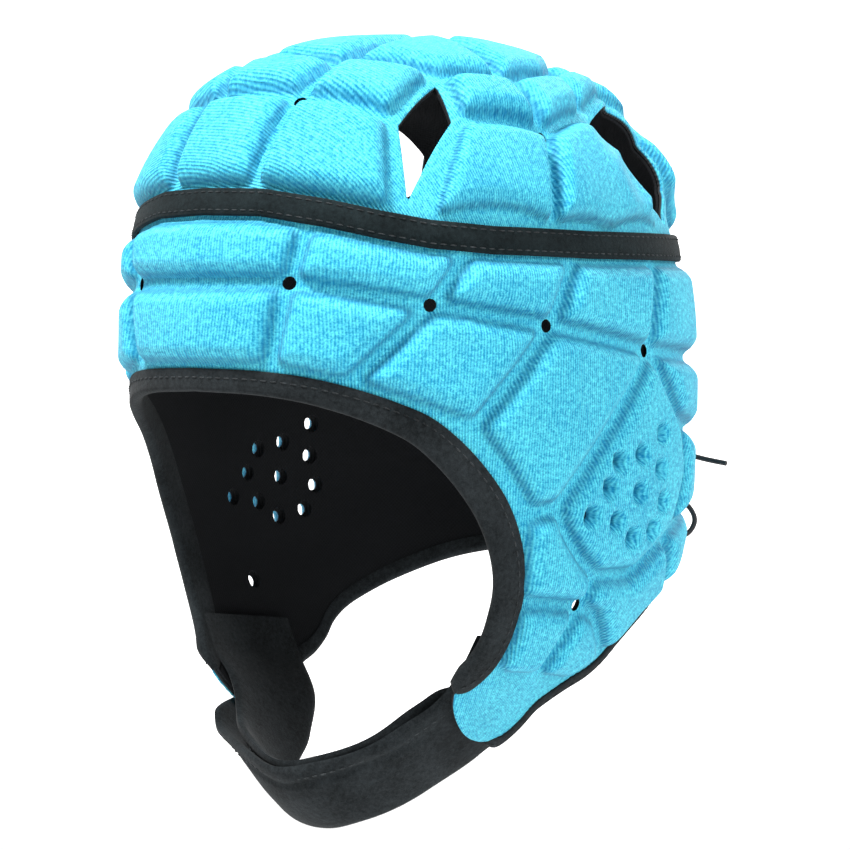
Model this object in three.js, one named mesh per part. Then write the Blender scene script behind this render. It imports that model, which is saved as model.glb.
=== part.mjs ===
import * as THREE from 'three';

// Rugby scrum cap, in millimetres, +Z up. The wearer looks along -Y and the wearer's left is +X.
// The origin is the inside of the crown, where the top of the head seats.

// Head form, measured at the floor of the channels between the pads
const HEAD_WIDTH = 164;
const HEAD_FRONT = 98;
const HEAD_BACK = 99;
const CAP_DROP = 260;

// Walls and pads
const PANEL_WALL = 1.8;
const LINING_WALL = 0.9;
const PAD_RISE = 6.6;
const PAD_SHOULDER = 3.2;
const CREST_IN = 2.4;
const CHANNEL_WIDTH = 5.4;
const CORNER_CUT = 5.5;
const CLEARANCE = 0.3;

// Ventilation holes and ear dimples
const VENT_HOLE = 4.2;
const EAR_DIMPLE = 7.2;
const HOLE_SIDES = 5;
const OFFSET_TURN = 0.2;

// Trim
const BAND_WIDTH = 8.8;
const BAND_WALL = 1.4;
const BAND_BEVEL = 1;
const FACE_BINDING = 11;
const BINDING_RISE = 0.9;
const BINDING_WALL = 4.2;
const NECK_BINDING = 4.4;
const STRAP_WALL = 3;
const STRAP_TIP = 0.45;
const TIP_STEPS = 1.8;

// Back opening and lace
const SLIT_WIDTH = 9;
const LACE = 1.8;
const LACE_HOLE = 5.4;
const LACE_SPREAD = 20.4;
const LACE_STEP = 5.4;
const LACE_SIDES = 8;
const KNOT_WIDE = 4.4;
const KNOT_DEEP = 6;
const KNOT_TALL = 7;

// How finely the faceted skins are cut
const EDGE_STEP = 12.5;
const PAD_STEP = 19;
const SKIN_STEP = 23;
const CAP_STEP = 17;
const TAB_STEP = 8;
const ROW_STEP = 0.87;
const ROOM = 0.42;
const SWAP_ROUNDS = 400;
const NUDGE = 1e-4;
const TINY = 1e-6;
const FEEL = 0.4;
const SHARPEST = 0.3;
const DEEPEST_DRAW = 0.6;
const LONGEST_CUT = 0.4;
const STRAIGHT = -0.87;

const COLOURS = { cyan: 0x1fc0e6, charcoal: 0x2b3033, black: 0x121416 };

// Level sections of the head form. drop is a share of CAP_DROP, wide of half HEAD_WIDTH, front of
// HEAD_FRONT and back of HEAD_BACK. square is the power of the rounded outline, 2 for an ellipse.
const SECTIONS = [
  { drop: 0, wide: 0, front: 0, back: 0, square: 2 },
  { drop: 0.006, wide: 0.268, front: 0.276, back: 0.273, square: 2 },
  { drop: 0.027, wide: 0.512, front: 0.52, back: 0.515, square: 2 },
  { drop: 0.058, wide: 0.683, front: 0.694, back: 0.697, square: 2.05 },
  { drop: 0.108, wide: 0.817, front: 0.827, back: 0.828, square: 2.1 },
  { drop: 0.173, wide: 0.915, front: 0.918, back: 0.919, square: 2.15 },
  { drop: 0.25, wide: 0.963, front: 0.969, back: 0.97, square: 2.2 },
  { drop: 0.339, wide: 0.988, front: 1, back: 1, square: 2.2 },
  { drop: 0.435, wide: 1, front: 1, back: 1, square: 2.2 },
  { drop: 0.531, wide: 1, front: 0.969, back: 0.98, square: 2.2 },
  { drop: 0.627, wide: 0.963, front: 0.929, back: 0.929, square: 2.2 },
  { drop: 0.704, wide: 0.89, front: 0.878, back: 0.848, square: 2.2 },
  { drop: 0.762, wide: 0.805, front: 0.816, back: 0.758, square: 2.2 },
  { drop: 0.819, wide: 0.683, front: 0.735, back: 0.646, square: 2.2 },
  { drop: 0.877, wide: 0.55, front: 0.633, back: 0.505, square: 2.2 },
  { drop: 0.935, wide: 0.41, front: 0.531, back: 0.364, square: 2.2 },
  { drop: 0.973, wide: 0.27, front: 0.408, back: 0.202, square: 2.2 },
  { drop: 1, wide: 0, front: 0, back: 0, square: 2 },
];

// The head form's profile, from the top of the crown down to under the chin, is measured along the
// surface. The crown takes the first share of it and the side panel hangs over the second.
const CROWN_SHARE = 0.332;
const SIDE_SHARE = 0.4705;

// Seam between crown and side panel. around is degrees from the front, down is hundredths of the
// side panel's reach below the crown's reach.
const SEAM = [
  { around: 0, down: -5.8 },
  { around: 14, down: -5.4 },
  { around: 27, down: -3.4 },
  { around: 38, down: -1.2 },
  { around: 48, down: 0.4 },
  { around: 62, down: 1.4 },
  { around: 90, down: 2 },
  { around: 180, down: 2.1 },
];

// Face opening from the middle of the brow to the front of the chin tab. binding is the width of
// the rolled edge there, as a share of FACE_BINDING.
const FACE_EDGE = [
  { around: 0, down: 24.9, binding: 0.58 },
  { around: 14, down: 25.3, binding: 0.6 },
  { around: 24, down: 26.4, binding: 0.64 },
  { around: 33, down: 28.4, binding: 0.69 },
  { around: 42, down: 31.2, binding: 0.76 },
  { around: 48, down: 33.6, binding: 0.84 },
  { around: 54.5, down: 38, binding: 0.91 },
  { around: 60, down: 43, binding: 0.96 },
  { around: 64.5, down: 48.4, binding: 1 },
  { around: 67.8, down: 54.5, binding: 1 },
  { around: 69.7, down: 60.4, binding: 1 },
  { around: 70.3, down: 66, binding: 1 },
  { around: 69.6, down: 71.6, binding: 1 },
  { around: 68, down: 76.6, binding: 0.96 },
  { around: 65.2, down: 80.9, binding: 0.91 },
  { around: 61, down: 84.2, binding: 0.82 },
  { around: 56.5, down: 86.3, binding: 0.73 },
];

// Lower edge from the chin tab round the jaw and the nape to the back opening
const TAB_EDGE = [
  { around: 56.8, down: 89.5 },
  { around: 59.5, down: 93.8 },
  { around: 64, down: 97.1 },
  { around: 72, down: 98.9 },
  { around: 80, down: 97.8 },
  { around: 85, down: 94.5 },
  { around: 88.5, down: 90.2 },
];
const NECK_EDGE = [
  { around: 93, down: 87.6 },
  { around: 99, down: 85 },
  { around: 105, down: 83 },
  { around: 109.5, down: 80.4 },
  { around: 113, down: 77 },
  { around: 118, down: 73.6 },
  { around: 126, down: 70 },
  { around: 135, down: 66.6 },
  { around: 147, down: 62.8 },
  { around: 158, down: 60.8 },
  { around: 170, down: 59.6 },
];
// Back opening from the neck up, as shares of SLIT_WIDTH
const SLIT = [{ down: 59, open: 1 }, { down: 43, open: 0.8 }, { down: 27, open: 0.04 }];

// Corners where the sewn channels meet. Crown corners are hundredths of the crown's reach, across
// to the wearer's left and along to the back; one set past the seam lies on the seam.
const CROWN_CORNERS = {
  a0: [17.5, -92], a1: [15.6, -59], a2: [15.4, -41], a3: [15.4, -5],
  b3: [15.4, 33], b2: [15.6, 55], b1: [17.5, 99],
  d1: [44, -53.5], d2: [63, -74], c1: [41, -31], f1: [52, -10.5], g1: [57.5, -37.5],
  g2: [72, -8.6], h1: [72.5, -66], h2: [97, -20], i1: [48, 14.5], i2: [62.5, 19.5],
  j1: [99, 15], j2: [82, 57], k1: [26.5, 35], l2: [43.5, 39.5], m1: [42.5, 58], n1: [54, 67.5],
  n2: [52, 86],
};
// Side corners are degrees round from the front and hundredths of the side panel's reach down
const SIDE_CORNERS = {
  t1: [25, -4], t2: [59, 0], t3: [87, 0], t4: [116.5, 0], t5: [148, 0], t6: [180, 0],
  a: [20.8, 9.1], b: [48.1, 13.1], c: [76, 16.8], d: [110, 21.5], e: [148, 23.5], e6: [180, 22.5],
  f1: [17.3, 24.4], f2: [31.8, 27.2], f3: [57, 34.8], f4: [64, 42], f5: [70.5, 50.4],
  g: [77.5, 49.7], r1: [124.5, 34.7], r2: [128, 44], r3: [121.5, 56], r4: [106, 63.2],
  r5: [92.5, 63], r6: [86.5, 59.5], r7: [81, 54.8],
  h0: [68.8, 51.5], h: [89.5, 68.8], h1: [69, 67], h2: [65.8, 79.4], q1: [68.5, 82.4], q2: [80.5, 83.2],
  q3: [95, 85], n1: [107, 80.2], n2: [96.5, 71], n3: [128, 68.2], n4: [148, 61.4], n5: [164, 59.2],
  h3: [68.2, 74.2], n6: [117, 73], v1: [147, 38], v2: [147, 51], w1: [164, 23], w2: [164, 41],
};

// Pads, each by the corners round it, clockwise or not. The centre ones span both sides.
const CROWN_CENTRE_PADS = [
  ['a0', 'a1'], ['a1', 'a2'], ['a2', 'a3'], ['a3', 'b3'], ['b3', 'b2'], ['b2', 'b1'],
];
const CROWN_PADS = [
  'a0 a1 d1 d2', 'a1 a2 c1 d1', 'a2 a3 f1 c1', 'c1 f1 g2 g1', 'g1 g2 h2 h1', 'f1 i1 i2 g2',
  'g2 i2 j2 j1 h2', 'a3 f1 i1 k1 b3', 'i1 i2 l2 m1 k1', 'b3 k1 m1 b2', 'b2 m1 n1 n2 b1',
];
const SIDE_CENTRE_PADS = [['t1', 'a'], ['a', 'f1']];
const SIDE_PADS = [
  't1 t2 b a', 't2 t3 c b', 't3 t4 d c', 't4 t5 e d', 't5 t6 e6 e',
  'a b f2 f1', 'b c f3 f2', 'c d g f5 f4 f3', 'd e v1 r1', 'h0 g r7 r6 r5 h h1',
  'h1 h q2 q1 h2 h3', 'h n2 n1 q3 q2', 'r5 r4 r3 n3 n6 n1 n2 h', 'r1 v1 v2 r3 r2', 'r3 v2 n4 n3',
  'e w1 w2 v1', 'v1 w2 n5 n4 v2',
];
const EAR_PAD = 'd r1 r2 r3 r4 r5 r6 r7 g';

// Ventilation holes at the corners, and the dimpled ones over the ear
const CROWN_HOLES = ['a1', 'g2', 'b2'];
const SIDE_HOLES = ['a', 'b', 'c', 'd', 'e', 'h'];
const EAR_HOLES = [
  { around: 112, down: 37 }, { around: 103.5, down: 40.6 }, { around: 95.5, down: 41.8 },
  { around: 111.5, down: 43.5 }, { around: 92, down: 46.5 }, { around: 102.8, down: 47.6 },
  { around: 113, down: 49.6 }, { around: 86.5, down: 51.4 }, { around: 95.2, down: 52.6 },
  { around: 109.5, down: 54.6 }, { around: 101.5, down: 55.8 },
];
const LACE_ROWS = [{ down: 37.7 }, { down: 47 }, { down: 55.9 }];

// Large cut-through vents of the crown, in hundredths of the crown's reach
const CROWN_VENTS = [
  [[42.5, -32.5], [45.8, -52.5], [63.5, -67], [56, -39]],
  [[64, 21.5], [46, 40.5], [45.5, 57], [55, 65.5], [72, 64], [76.5, 48]],
];

// Chin sling: its front and rear edges on the head form from the tab to the middle. tucked is 1 where
// the straps lie inside or outside the tab and 0 where they lie on each other under the chin.
const SLING = [
  { front: [62, 75], rear: [97, 78], tucked: 1 },
  { front: [58, 84], rear: [97, 87], tucked: 1 },
  { front: [54, 90], rear: [95, 96], tucked: 1 },
  { front: [43, 96], rear: [80, 105.2], tucked: 0.9 },
  { front: [29, 100.2], rear: [54, 111.6], tucked: 0.3 },
  { front: [14, 103.6], rear: [26, 118.6], tucked: 0 },
  { front: [0, 105], rear: [0, 124.2], tucked: 0 },
];
const STRAP_ACROSS = 2;
const STRAP_TURNS = 24;
const OUTER_TIP = 20.5;
const INNER_TIP = 2.5;

// Lace route, chosen points: across, behind the back of the channel floor, and above the origin.
// The lacing runs from the knot through the upper holes to the bottom bar and back.
const LACING_ROUTE = [
  [2.2, 5.6, -126], [5, 4.6, -124.4], [8.4, 3.2, -121.8], [10.7, 0.6, -120.8], [11, -3.2, -121],
  [11, -5.7, -123.4], [11, -6.2, -128], [11, -6.1, -133], [11, -4, -136.4], [10.6, 0.6, -137.2],
  [8, 2.5, -139], [4, 2.7, -142.2], [0, 2.7, -145.6], [-4, 2.7, -148.6], [-8, 2.5, -151],
  [-10.6, 0.6, -152.2], [-10.9, -3, -152.2], [-8, -5.2, -152.4], [0, -5.6, -152.6], [8, -5.2, -152.4],
  [10.9, -3, -152.2], [10.6, 0.6, -152.2], [8, 3, -151], [4, 5, -148.6], [0, 5.4, -145.6],
  [-4, 5, -142.2], [-8, 3, -139], [-10.6, 0.6, -137.2], [-11, -4, -136.4], [-11, -6.1, -133],
  [-11, -6.2, -128], [-11, -5.7, -123.4], [-11, -3.2, -121], [-10.7, 0.6, -120.8], [-8.4, 3.2, -121.8],
  [-5, 4.6, -124.4], [-2.2, 5.6, -126],
];
const LOOP_ROUTE = [
  [3, 8.6, -129.2], [8, 11.4, -132], [15.6, 15.6, -138], [23.6, 19.4, -145.6], [28.5, 21.4, -150.2],
  [30.1, 21.9, -153.8], [29.1, 21, -157.6], [26, 19.2, -159.3], [22.6, 17.6, -158],
  [17.1, 14.8, -150.4], [12, 12.2, -143.3], [7.4, 9.8, -137], [2.2, 8, -132],
];
const TAIL_ROUTE = [
  [2.9, 8.4, -126.6], [8, 11.8, -126.4], [15, 16, -127.8], [23, 19.6, -130], [31, 22.2, -132],
  [39.5, 24, -133.4],
];
const KNOT_SPOT = [0, 7.6, -128.4];

// Head form as a surface
const smooth = buildProfile();
const CROWN_REACH = smooth.length * CROWN_SHARE;
const SIDE_REACH = smooth.length * SIDE_SHARE;
const GIRTH_RADIUS = (HEAD_FRONT + HEAD_BACK + HEAD_WIDTH) / 4;
const TOP_LEVEL = PANEL_WALL + CLEARANCE + LINING_WALL;

// Slope of a curve through rows that never overshoots them
function slopes(at, values) {
  const rise = values.slice(1).map((value, i) => (value - values[i]) / (at[i + 1] - at[i]));
  return values.map((_, i) => {
    if (i === 0) return rise[0];
    if (i === values.length - 1) return rise[i - 1];
    if (rise[i - 1] * rise[i] <= 0) return 0;
    const before = at[i] - at[i - 1];
    const after = at[i + 1] - at[i];
    const one = 2 * after + before;
    const two = after + 2 * before;
    return (one + two) / (one / rise[i - 1] + two / rise[i]);
  });
}

// Sections turned into curves over the length measured down the profile
function buildProfile() {
  const rows = SECTIONS.map(({ drop, wide, front, back, square }) => [
    -drop * CAP_DROP, (wide * HEAD_WIDTH) / 2, front * HEAD_FRONT, back * HEAD_BACK, square,
  ]);
  const at = [0];
  for (let i = 1; i < rows.length; i++) {
    const fall = rows[i][0] - rows[i - 1][0];
    const spread = (rows[i][2] + rows[i][3] - rows[i - 1][2] - rows[i - 1][3]) / 2;
    at.push(at[i - 1] + Math.hypot(fall, spread));
  }
  const columns = rows[0].map((_, k) => rows.map((row) => row[k]));
  const slope = columns.map((column) => slopes(at, column));
  function sample(s) {
    let i = 0;
    while (i < at.length - 2 && s > at[i + 1]) i++;
    const step = at[i + 1] - at[i];
    const t = (s - at[i]) / step;
    const u = 1 - t;
    return columns.map((column, k) => column[i] * (1 + 2 * t) * u * u + slope[k][i] * step * t * u * u
      + column[i + 1] * t * t * (3 - 2 * t) - slope[k][i + 1] * step * t * t * u);
  }
  return { length: at[at.length - 1], sample };
}

// A point of the head form: degrees round from the front, and length s down the profile
function headPoint(around, s) {
  const [fall, wide, front, back, square] = smooth.sample(Math.max(s, NUDGE));
  const turn = THREE.MathUtils.degToRad(around);
  const side = Math.sin(turn);
  const ahead = Math.cos(turn);
  const long = ahead > 0 ? front : back;
  const reach = (Math.abs(side / wide) ** square + Math.abs(ahead / long) ** square) ** (-1 / square);
  return new THREE.Vector3(reach * side, -reach * ahead, fall + TOP_LEVEL);
}

// Flat patterns. Each turns pattern millimetres into a place on the head form.
const crownPattern = {
  spot: (p) => [THREE.MathUtils.radToDeg(Math.atan2(p.x, -p.y)), p.length()],
};
const sidePattern = {
  spot: (p) => [THREE.MathUtils.radToDeg(p.x / GIRTH_RADIUS), -p.y],
};

// The point that lies out millimetres outside the head form above a pattern point
function lift(pattern, p, out) {
  const at = (x, y) => headPoint(...pattern.spot(new THREE.Vector2(x, y)));
  const across = at(p.x + FEEL, p.y).sub(at(p.x - FEEL, p.y));
  const along = at(p.x, p.y + FEEL).sub(at(p.x, p.y - FEEL));
  return at(p.x, p.y).addScaledVector(across.cross(along).normalize(), out);
}

function downLength(down) {
  return CROWN_REACH + (down / 100) * SIDE_REACH;
}

function seamLength(around) {
  const rows = SEAM;
  const turn = Math.abs(around);
  const i = Math.max(1, rows.findIndex((row) => row.around >= turn));
  const t = (turn - rows[i - 1].around) / (rows[i].around - rows[i - 1].around);
  return downLength(THREE.MathUtils.lerp(rows[i - 1].down, rows[i].down, t));
}

function sideSpot(around, s) {
  return new THREE.Vector2(THREE.MathUtils.degToRad(around) * GIRTH_RADIUS, -s);
}

function sideCorner([around, down]) {
  return sideSpot(around, downLength(down));
}

function crownCorner([across, along]) {
  return new THREE.Vector2(across, along).multiplyScalar(CROWN_REACH / 100);
}

function mirror(ring) {
  return ring.map((p) => new THREE.Vector2(-p.x, p.y)).reverse();
}

// Rings of flat points
function area(ring) {
  return THREE.ShapeUtils.area(ring);
}

function turned(ring) {
  return area(ring) > 0 ? ring : ring.slice().reverse();
}

function divided(ring, step) {
  return ring.flatMap((p, i) => {
    const next = ring[(i + 1) % ring.length];
    const parts = Math.max(1, Math.round(p.distanceTo(next) / step));
    return Array.from({ length: parts }, (_, k) => p.clone().lerp(next, k / parts));
  });
}

// Each side of the ring moved inwards by the same distance
function inset(ring, distance) {
  return ring.map((p, i) => {
    const before = p.clone().sub(ring[(i + ring.length - 1) % ring.length]).normalize();
    const after = ring[(i + 1) % ring.length].clone().sub(p).normalize();
    const inward = new THREE.Vector2(-before.y - after.y, before.x + after.x);
    const stretch = Math.max(SHARPEST, inward.lengthSq() / 2);
    return p.clone().addScaledVector(inward, distance / stretch);
  });
}

// The ring drawn in towards its middle, by its sides where that stays clean, else as a whole
function shrunk(ring, distance) {
  const moved = inset(ring, distance);
  const clean = ring.every((p, i) => {
    const k = (i + 1) % ring.length;
    return ring[k].clone().sub(p).dot(moved[k].clone().sub(moved[i])) > 0;
  });
  if (clean) return moved;
  const middle = centre(ring);
  const reach = Math.sqrt(area(ring) / Math.PI);
  return ring.map((p) => p.clone().lerp(middle, Math.min(DEEPEST_DRAW, distance / reach)));
}

function centre(ring) {
  return ring.reduce((sum, p) => sum.add(p), new THREE.Vector2()).divideScalar(ring.length);
}

// Corners that turn more than a little are cut off
function blunted(ring, cut) {
  return ring.flatMap((p, i) => {
    const before = ring[(i + ring.length - 1) % ring.length].clone().sub(p);
    const after = ring[(i + 1) % ring.length].clone().sub(p);
    const straight = before.clone().normalize().dot(after.clone().normalize()) < STRAIGHT;
    if (straight) return [p];
    return [before, after].map((arm) => (
      p.clone().addScaledVector(arm, Math.min(LONGEST_CUT, cut / arm.length()))));
  });
}

function circle(middle, diameter, sides) {
  return Array.from({ length: sides }, (_, i) => {
    const turn = (2 * Math.PI * (i + OFFSET_TURN)) / sides;
    return new THREE.Vector2(Math.cos(turn), Math.sin(turn)).multiplyScalar(diameter / 2).add(middle);
  });
}

function contains(ring, p) {
  return ring.reduce((inside, a, i) => {
    const b = ring[(i + 1) % ring.length];
    const crosses = a.y > p.y !== b.y > p.y && p.x < ((b.x - a.x) * (p.y - a.y)) / (b.y - a.y) + a.x;
    return crosses ? !inside : inside;
  }, false);
}

function clearance(ring, p) {
  return Math.min(...ring.map((a, i) => {
    const side = ring[(i + 1) % ring.length].clone().sub(a);
    const t = THREE.MathUtils.clamp(p.clone().sub(a).dot(side) / side.lengthSq(), 0, 1);
    return a.clone().addScaledVector(side, t).distanceTo(p);
  }));
}

// Points spread evenly inside the first ring and outside the others
function scattered(rings, step) {
  const box = new THREE.Box2().setFromPoints(rings[0]);
  const points = [];
  const rows = Math.ceil((box.max.y - box.min.y) / (step * ROW_STEP));
  const columns = Math.ceil((box.max.x - box.min.x) / step) + 1;
  for (let row = 0; row <= rows; row++) {
    for (let column = 0; column <= columns; column++) {
      const p = new THREE.Vector2(column + (row % 2) / 2, row * ROW_STEP).multiplyScalar(step).add(box.min);
      const inside = rings.every((ring, k) => contains(ring, p) === (k === 0));
      if (inside && rings.every((ring) => clearance(ring, p) > step * ROOM)) points.push(p);
    }
  }
  return points;
}

// Triangles between the rings and through the inner points, with the better diagonal in each pair.
// Points in a straight row are nudged off it, so that none is left out.
function tiled(rings, inner) {
  const nudged = [...rings, ...inner.map((p) => [p])].map((ring) => ring.map((p, i) => (
    new THREE.Vector2(p.x + NUDGE * Math.sin(7 * i + p.y), p.y + NUDGE * Math.cos(5 * i + p.x)))));
  const points = nudged.flat();
  const faces = THREE.ShapeUtils.triangulateShape(nudged[0], nudged.slice(1));
  const size = (a, b, c) => area([points[a], points[b], points[c]]);
  const tiles = faces.map(([a, b, c]) => (size(a, b, c) > 0 ? [a, b, c] : [a, c, b]));
  for (let round = 0; round < SWAP_ROUNDS; round++) {
    const owner = new Map();
    tiles.forEach((tile, t) => tile.forEach((a, k) => owner.set(`${a},${tile[(k + 1) % 3]}`, [t, k])));
    const busy = new Set();
    tiles.forEach((tile, t) => {
      for (let k = 0; k < 3; k++) {
        const [a, b, c] = [tile[k], tile[(k + 1) % 3], tile[(k + 2) % 3]];
        const twin = owner.get(`${b},${a}`);
        if (!twin || busy.has(t) || busy.has(twin[0])) continue;
        const d = tiles[twin[0]][(twin[1] + 2) % 3];
        if (size(c, a, d) < TINY || size(d, b, c) < TINY) continue;
        const facing = [c, d].map((tip) => corner(points[a], points[tip], points[b]));
        if (facing[0] + facing[1] < Math.PI + TINY) continue;
        busy.add(t).add(twin[0]);
        tiles[t] = [c, a, d];
        tiles[twin[0]] = [d, b, c];
      }
    });
    if (busy.size === 0) break;
  }
  return tiles;
}

function corner(a, at, b) {
  const one = a.clone().sub(at).normalize();
  const two = b.clone().sub(at).normalize();
  return Math.acos(THREE.MathUtils.clamp(one.dot(two), -1, 1));
}

// A closed body gathered from points and faces
class Body {
  constructor(pattern) {
    this.pattern = pattern;
    this.points = [];
    this.faces = [];
  }

  layer(flat, out) {
    const start = this.points.length;
    flat.forEach((p) => this.points.push(lift(this.pattern, p, typeof out === 'function' ? out(p) : out)));
    return flat.map((_, i) => start + i);
  }

  skin(tiles, index, flipped = false) {
    tiles.forEach(([a, b, c]) => {
      const face = [index[a], index[b], index[c]];
      this.faces.push(flipped ? face.reverse() : face);
    });
  }

  // Faces from one ring to the next ring inside it or, for a wall, under it
  join(outer, inner) {
    outer.forEach((a, i) => {
      const k = (i + 1) % outer.length;
      this.faces.push([a, outer[k], inner[k]], [a, inner[k], inner[i]]);
    });
  }

  // Quads between neighbouring sections, each a ring of points, with end caps unless the row closes
  sweep(sections, closed) {
    const rings = sections.map((section) => {
      const start = this.points.length;
      this.points.push(...section);
      return section.map((_, i) => start + i);
    });
    rings.slice(closed ? 0 : 1).forEach((ring, i) => {
      this.join(closed ? rings[(i + rings.length - 1) % rings.length] : rings[i], ring);
    });
    if (closed) return;
    const fan = rings[0].slice(2).map((_, i) => [0, i + 1, i + 2]);
    this.skin(fan, rings[0], true);
    this.skin(fan, rings[rings.length - 1]);
  }

  geometry() {
    const volume = this.faces.reduce((sum, face) => {
      const [a, b, c] = face.map((i) => this.points[i]);
      return sum + a.clone().cross(b).dot(c);
    }, 0);
    if (volume < 0) this.faces.forEach((face) => face.reverse());
    const shape = new THREE.BufferGeometry().setFromPoints(this.points);
    shape.setIndex(this.faces.flat());
    shape.computeVertexNormals();
    return shape;
  }
}

// How high a pad stands at a distance in from its edge
function padHeight(distance) {
  const deep = Math.min(1, distance / (CREST_IN * PAD_SHOULDER));
  return PAD_RISE * Math.sqrt(1 - (1 - deep) ** 2);
}

// A quilted panel: channel floor, raised pads, dimples in pads, and a plain inner face
function quilted(pattern, outline, openings, pads, skinStep) {
  const body = new Body(pattern);
  const holes = openings.map(turned);
  const dimples = pads.flatMap((pad) => pad.dimples);
  const floor = [outline, ...holes, ...pads.map((pad) => pad.ring)];
  const floorIndex = floor.map((ring) => body.layer(ring, 0));
  body.skin(tiled(floor, []), floorIndex.flat());
  const throats = dimples.map((p) => turned(circle(p, VENT_HOLE, HOLE_SIDES)));
  const throatIndex = throats.map((ring) => body.layer(ring, 0));
  pads.forEach((pad, n) => {
    const shoulder = shrunk(pad.ring, PAD_SHOULDER);
    const shoulderIndex = body.layer(shoulder, padHeight(PAD_SHOULDER));
    body.join(floorIndex[1 + holes.length + n], shoulderIndex);
    const rims = pad.dimples.map((p) => turned(circle(p, EAR_DIMPLE, HOLE_SIDES)));
    const rimIndex = rims.map((ring) => body.layer(ring, padHeight(PAD_RISE)));
    rimIndex.forEach((rim, k) => body.join(rim, throatIndex[dimples.indexOf(pad.dimples[k])]));
    const spread = scattered([shoulder, ...rims], PAD_STEP);
    const crest = spread.length + rims.length > 0 ? spread : [centre(shoulder)];
    const crestIndex = body.layer(crest, PAD_RISE);
    body.skin(tiled([shoulder, ...rims], crest), [shoulderIndex, ...rimIndex, crestIndex].flat());
  });
  const under = [outline, ...holes, ...throats];
  const spread = scattered(under, skinStep);
  const tiles = tiled(under, spread);
  const underIndex = under.map((ring) => body.layer(ring, -PANEL_WALL));
  const spreadIndex = body.layer(spread, -PANEL_WALL);
  body.skin(tiles, [underIndex, spreadIndex].flat(2), true);
  closeWalls(body, [...floorIndex.slice(0, 1 + holes.length), ...throatIndex], underIndex);
  return { panel: body.geometry(), lining: linedUnder(pattern, under, spread, tiles) };
}

// The first ring is the outline, the others are holes through the sheet
function closeWalls(body, upper, lower) {
  upper.forEach((ring, n) => {
    if (n === 0) body.join(lower[0], ring);
    else body.join(ring, lower[n]);
  });
}

// Lining cut to the same outline and holes, just inside the panel
function linedUnder(pattern, rings, spread, tiles) {
  const body = new Body(pattern);
  const face = -PANEL_WALL - CLEARANCE;
  const [upper, lower] = [face, face - LINING_WALL].map((out) => ({
    rings: rings.map((ring) => body.layer(ring, out)),
    spread: body.layer(spread, out),
  }));
  body.skin(tiles, [upper.rings, upper.spread].flat(2));
  body.skin(tiles, [lower.rings, lower.spread].flat(2), true);
  closeWalls(body, upper.rings, lower.rings);
  return body.geometry();
}

// A pad's outline on the channel floor from the channel corners round it
function padRing(corners, clip) {
  const sides = divided(turned(corners), PAD_STEP).map(clip);
  return blunted(inset(turned(sides), CHANNEL_WIDTH / 2), CORNER_CUT);
}

function padsOf(names, corners, toFlat, clip, dimples = []) {
  const ring = padRing(names.split(' ').map((name) => toFlat(corners[name])), clip);
  const across = dimples.map((p) => new THREE.Vector2(-p.x, p.y));
  return [{ ring, dimples }, { ring: mirror(ring), dimples: across }];
}

function centrePad(names, corners, toFlat, clip) {
  const half = names.map((name) => toFlat(corners[name]));
  return { ring: padRing([...half, ...mirror(half)], clip), dimples: [] };
}

// Edge points at even steps, with the third value carried along
function spaced(points, step) {
  const curve = new THREE.CatmullRomCurve3(points, false, 'centripetal');
  return curve.getSpacedPoints(Math.max(2, Math.round(curve.getLength() / step)));
}

function edgePoints(rows) {
  return rows.map(({ around, down, binding = NECK_BINDING / FACE_BINDING }) => {
    const p = sideCorner([around, down]);
    return new THREE.Vector3(p.x, p.y, binding * FACE_BINDING);
  });
}

function flat(points) {
  return points.map((p) => new THREE.Vector2(p.x, p.y));
}

// Crown
const seamTurns = Math.round((2 * Math.PI * CROWN_REACH) / EDGE_STEP / 4) * 4;
const seamAngles = Array.from({ length: seamTurns + 1 }, (_, i) => (360 * i) / seamTurns - 180);

function crownSpot(around, s) {
  const turn = THREE.MathUtils.degToRad(around);
  return new THREE.Vector2(Math.sin(turn), -Math.cos(turn)).multiplyScalar(s);
}

function insideCrownBand(p) {
  const [around, s] = crownPattern.spot(p);
  return crownSpot(around, Math.min(s, seamLength(around) - BAND_WIDTH / 2));
}

function crownParts() {
  const outline = seamAngles.slice(1).map((around) => crownSpot(around, seamLength(around) - CLEARANCE / 2));
  const vents = CROWN_VENTS.map((rows) => blunted(turned(rows.map(crownCorner)), CORNER_CUT / 2));
  const holes = CROWN_HOLES.map((name) => circle(crownCorner(CROWN_CORNERS[name]), VENT_HOLE, HOLE_SIDES));
  const half = [...vents, ...holes];
  const laid = [CROWN_CORNERS, crownCorner, insideCrownBand];
  const pads = [
    ...CROWN_PADS.flatMap((names) => padsOf(names, ...laid)),
    ...CROWN_CENTRE_PADS.map((pair) => centrePad(pair, ...laid)),
  ];
  return quilted(crownPattern, turned(outline), [...half, ...half.map(mirror)], pads, CAP_STEP);
}

// Side panel
const faceEdge = spaced(edgePoints(FACE_EDGE), EDGE_STEP);
const tabEdge = spaced(edgePoints([FACE_EDGE[FACE_EDGE.length - 1], ...TAB_EDGE, NECK_EDGE[0]]), TAB_STEP);
const neckEdge = spaced(edgePoints(NECK_EDGE), EDGE_STEP);
const slitEdge = SLIT.map(({ down, open }) => {
  const p = sideCorner([180, down]);
  return p.setX(p.x - (open * SLIT_WIDTH) / 2);
});

function insideSideBand(p) {
  const [around, s] = sidePattern.spot(p);
  return sideSpot(around, Math.max(s, seamLength(around) + BAND_WIDTH / 2));
}

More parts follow.
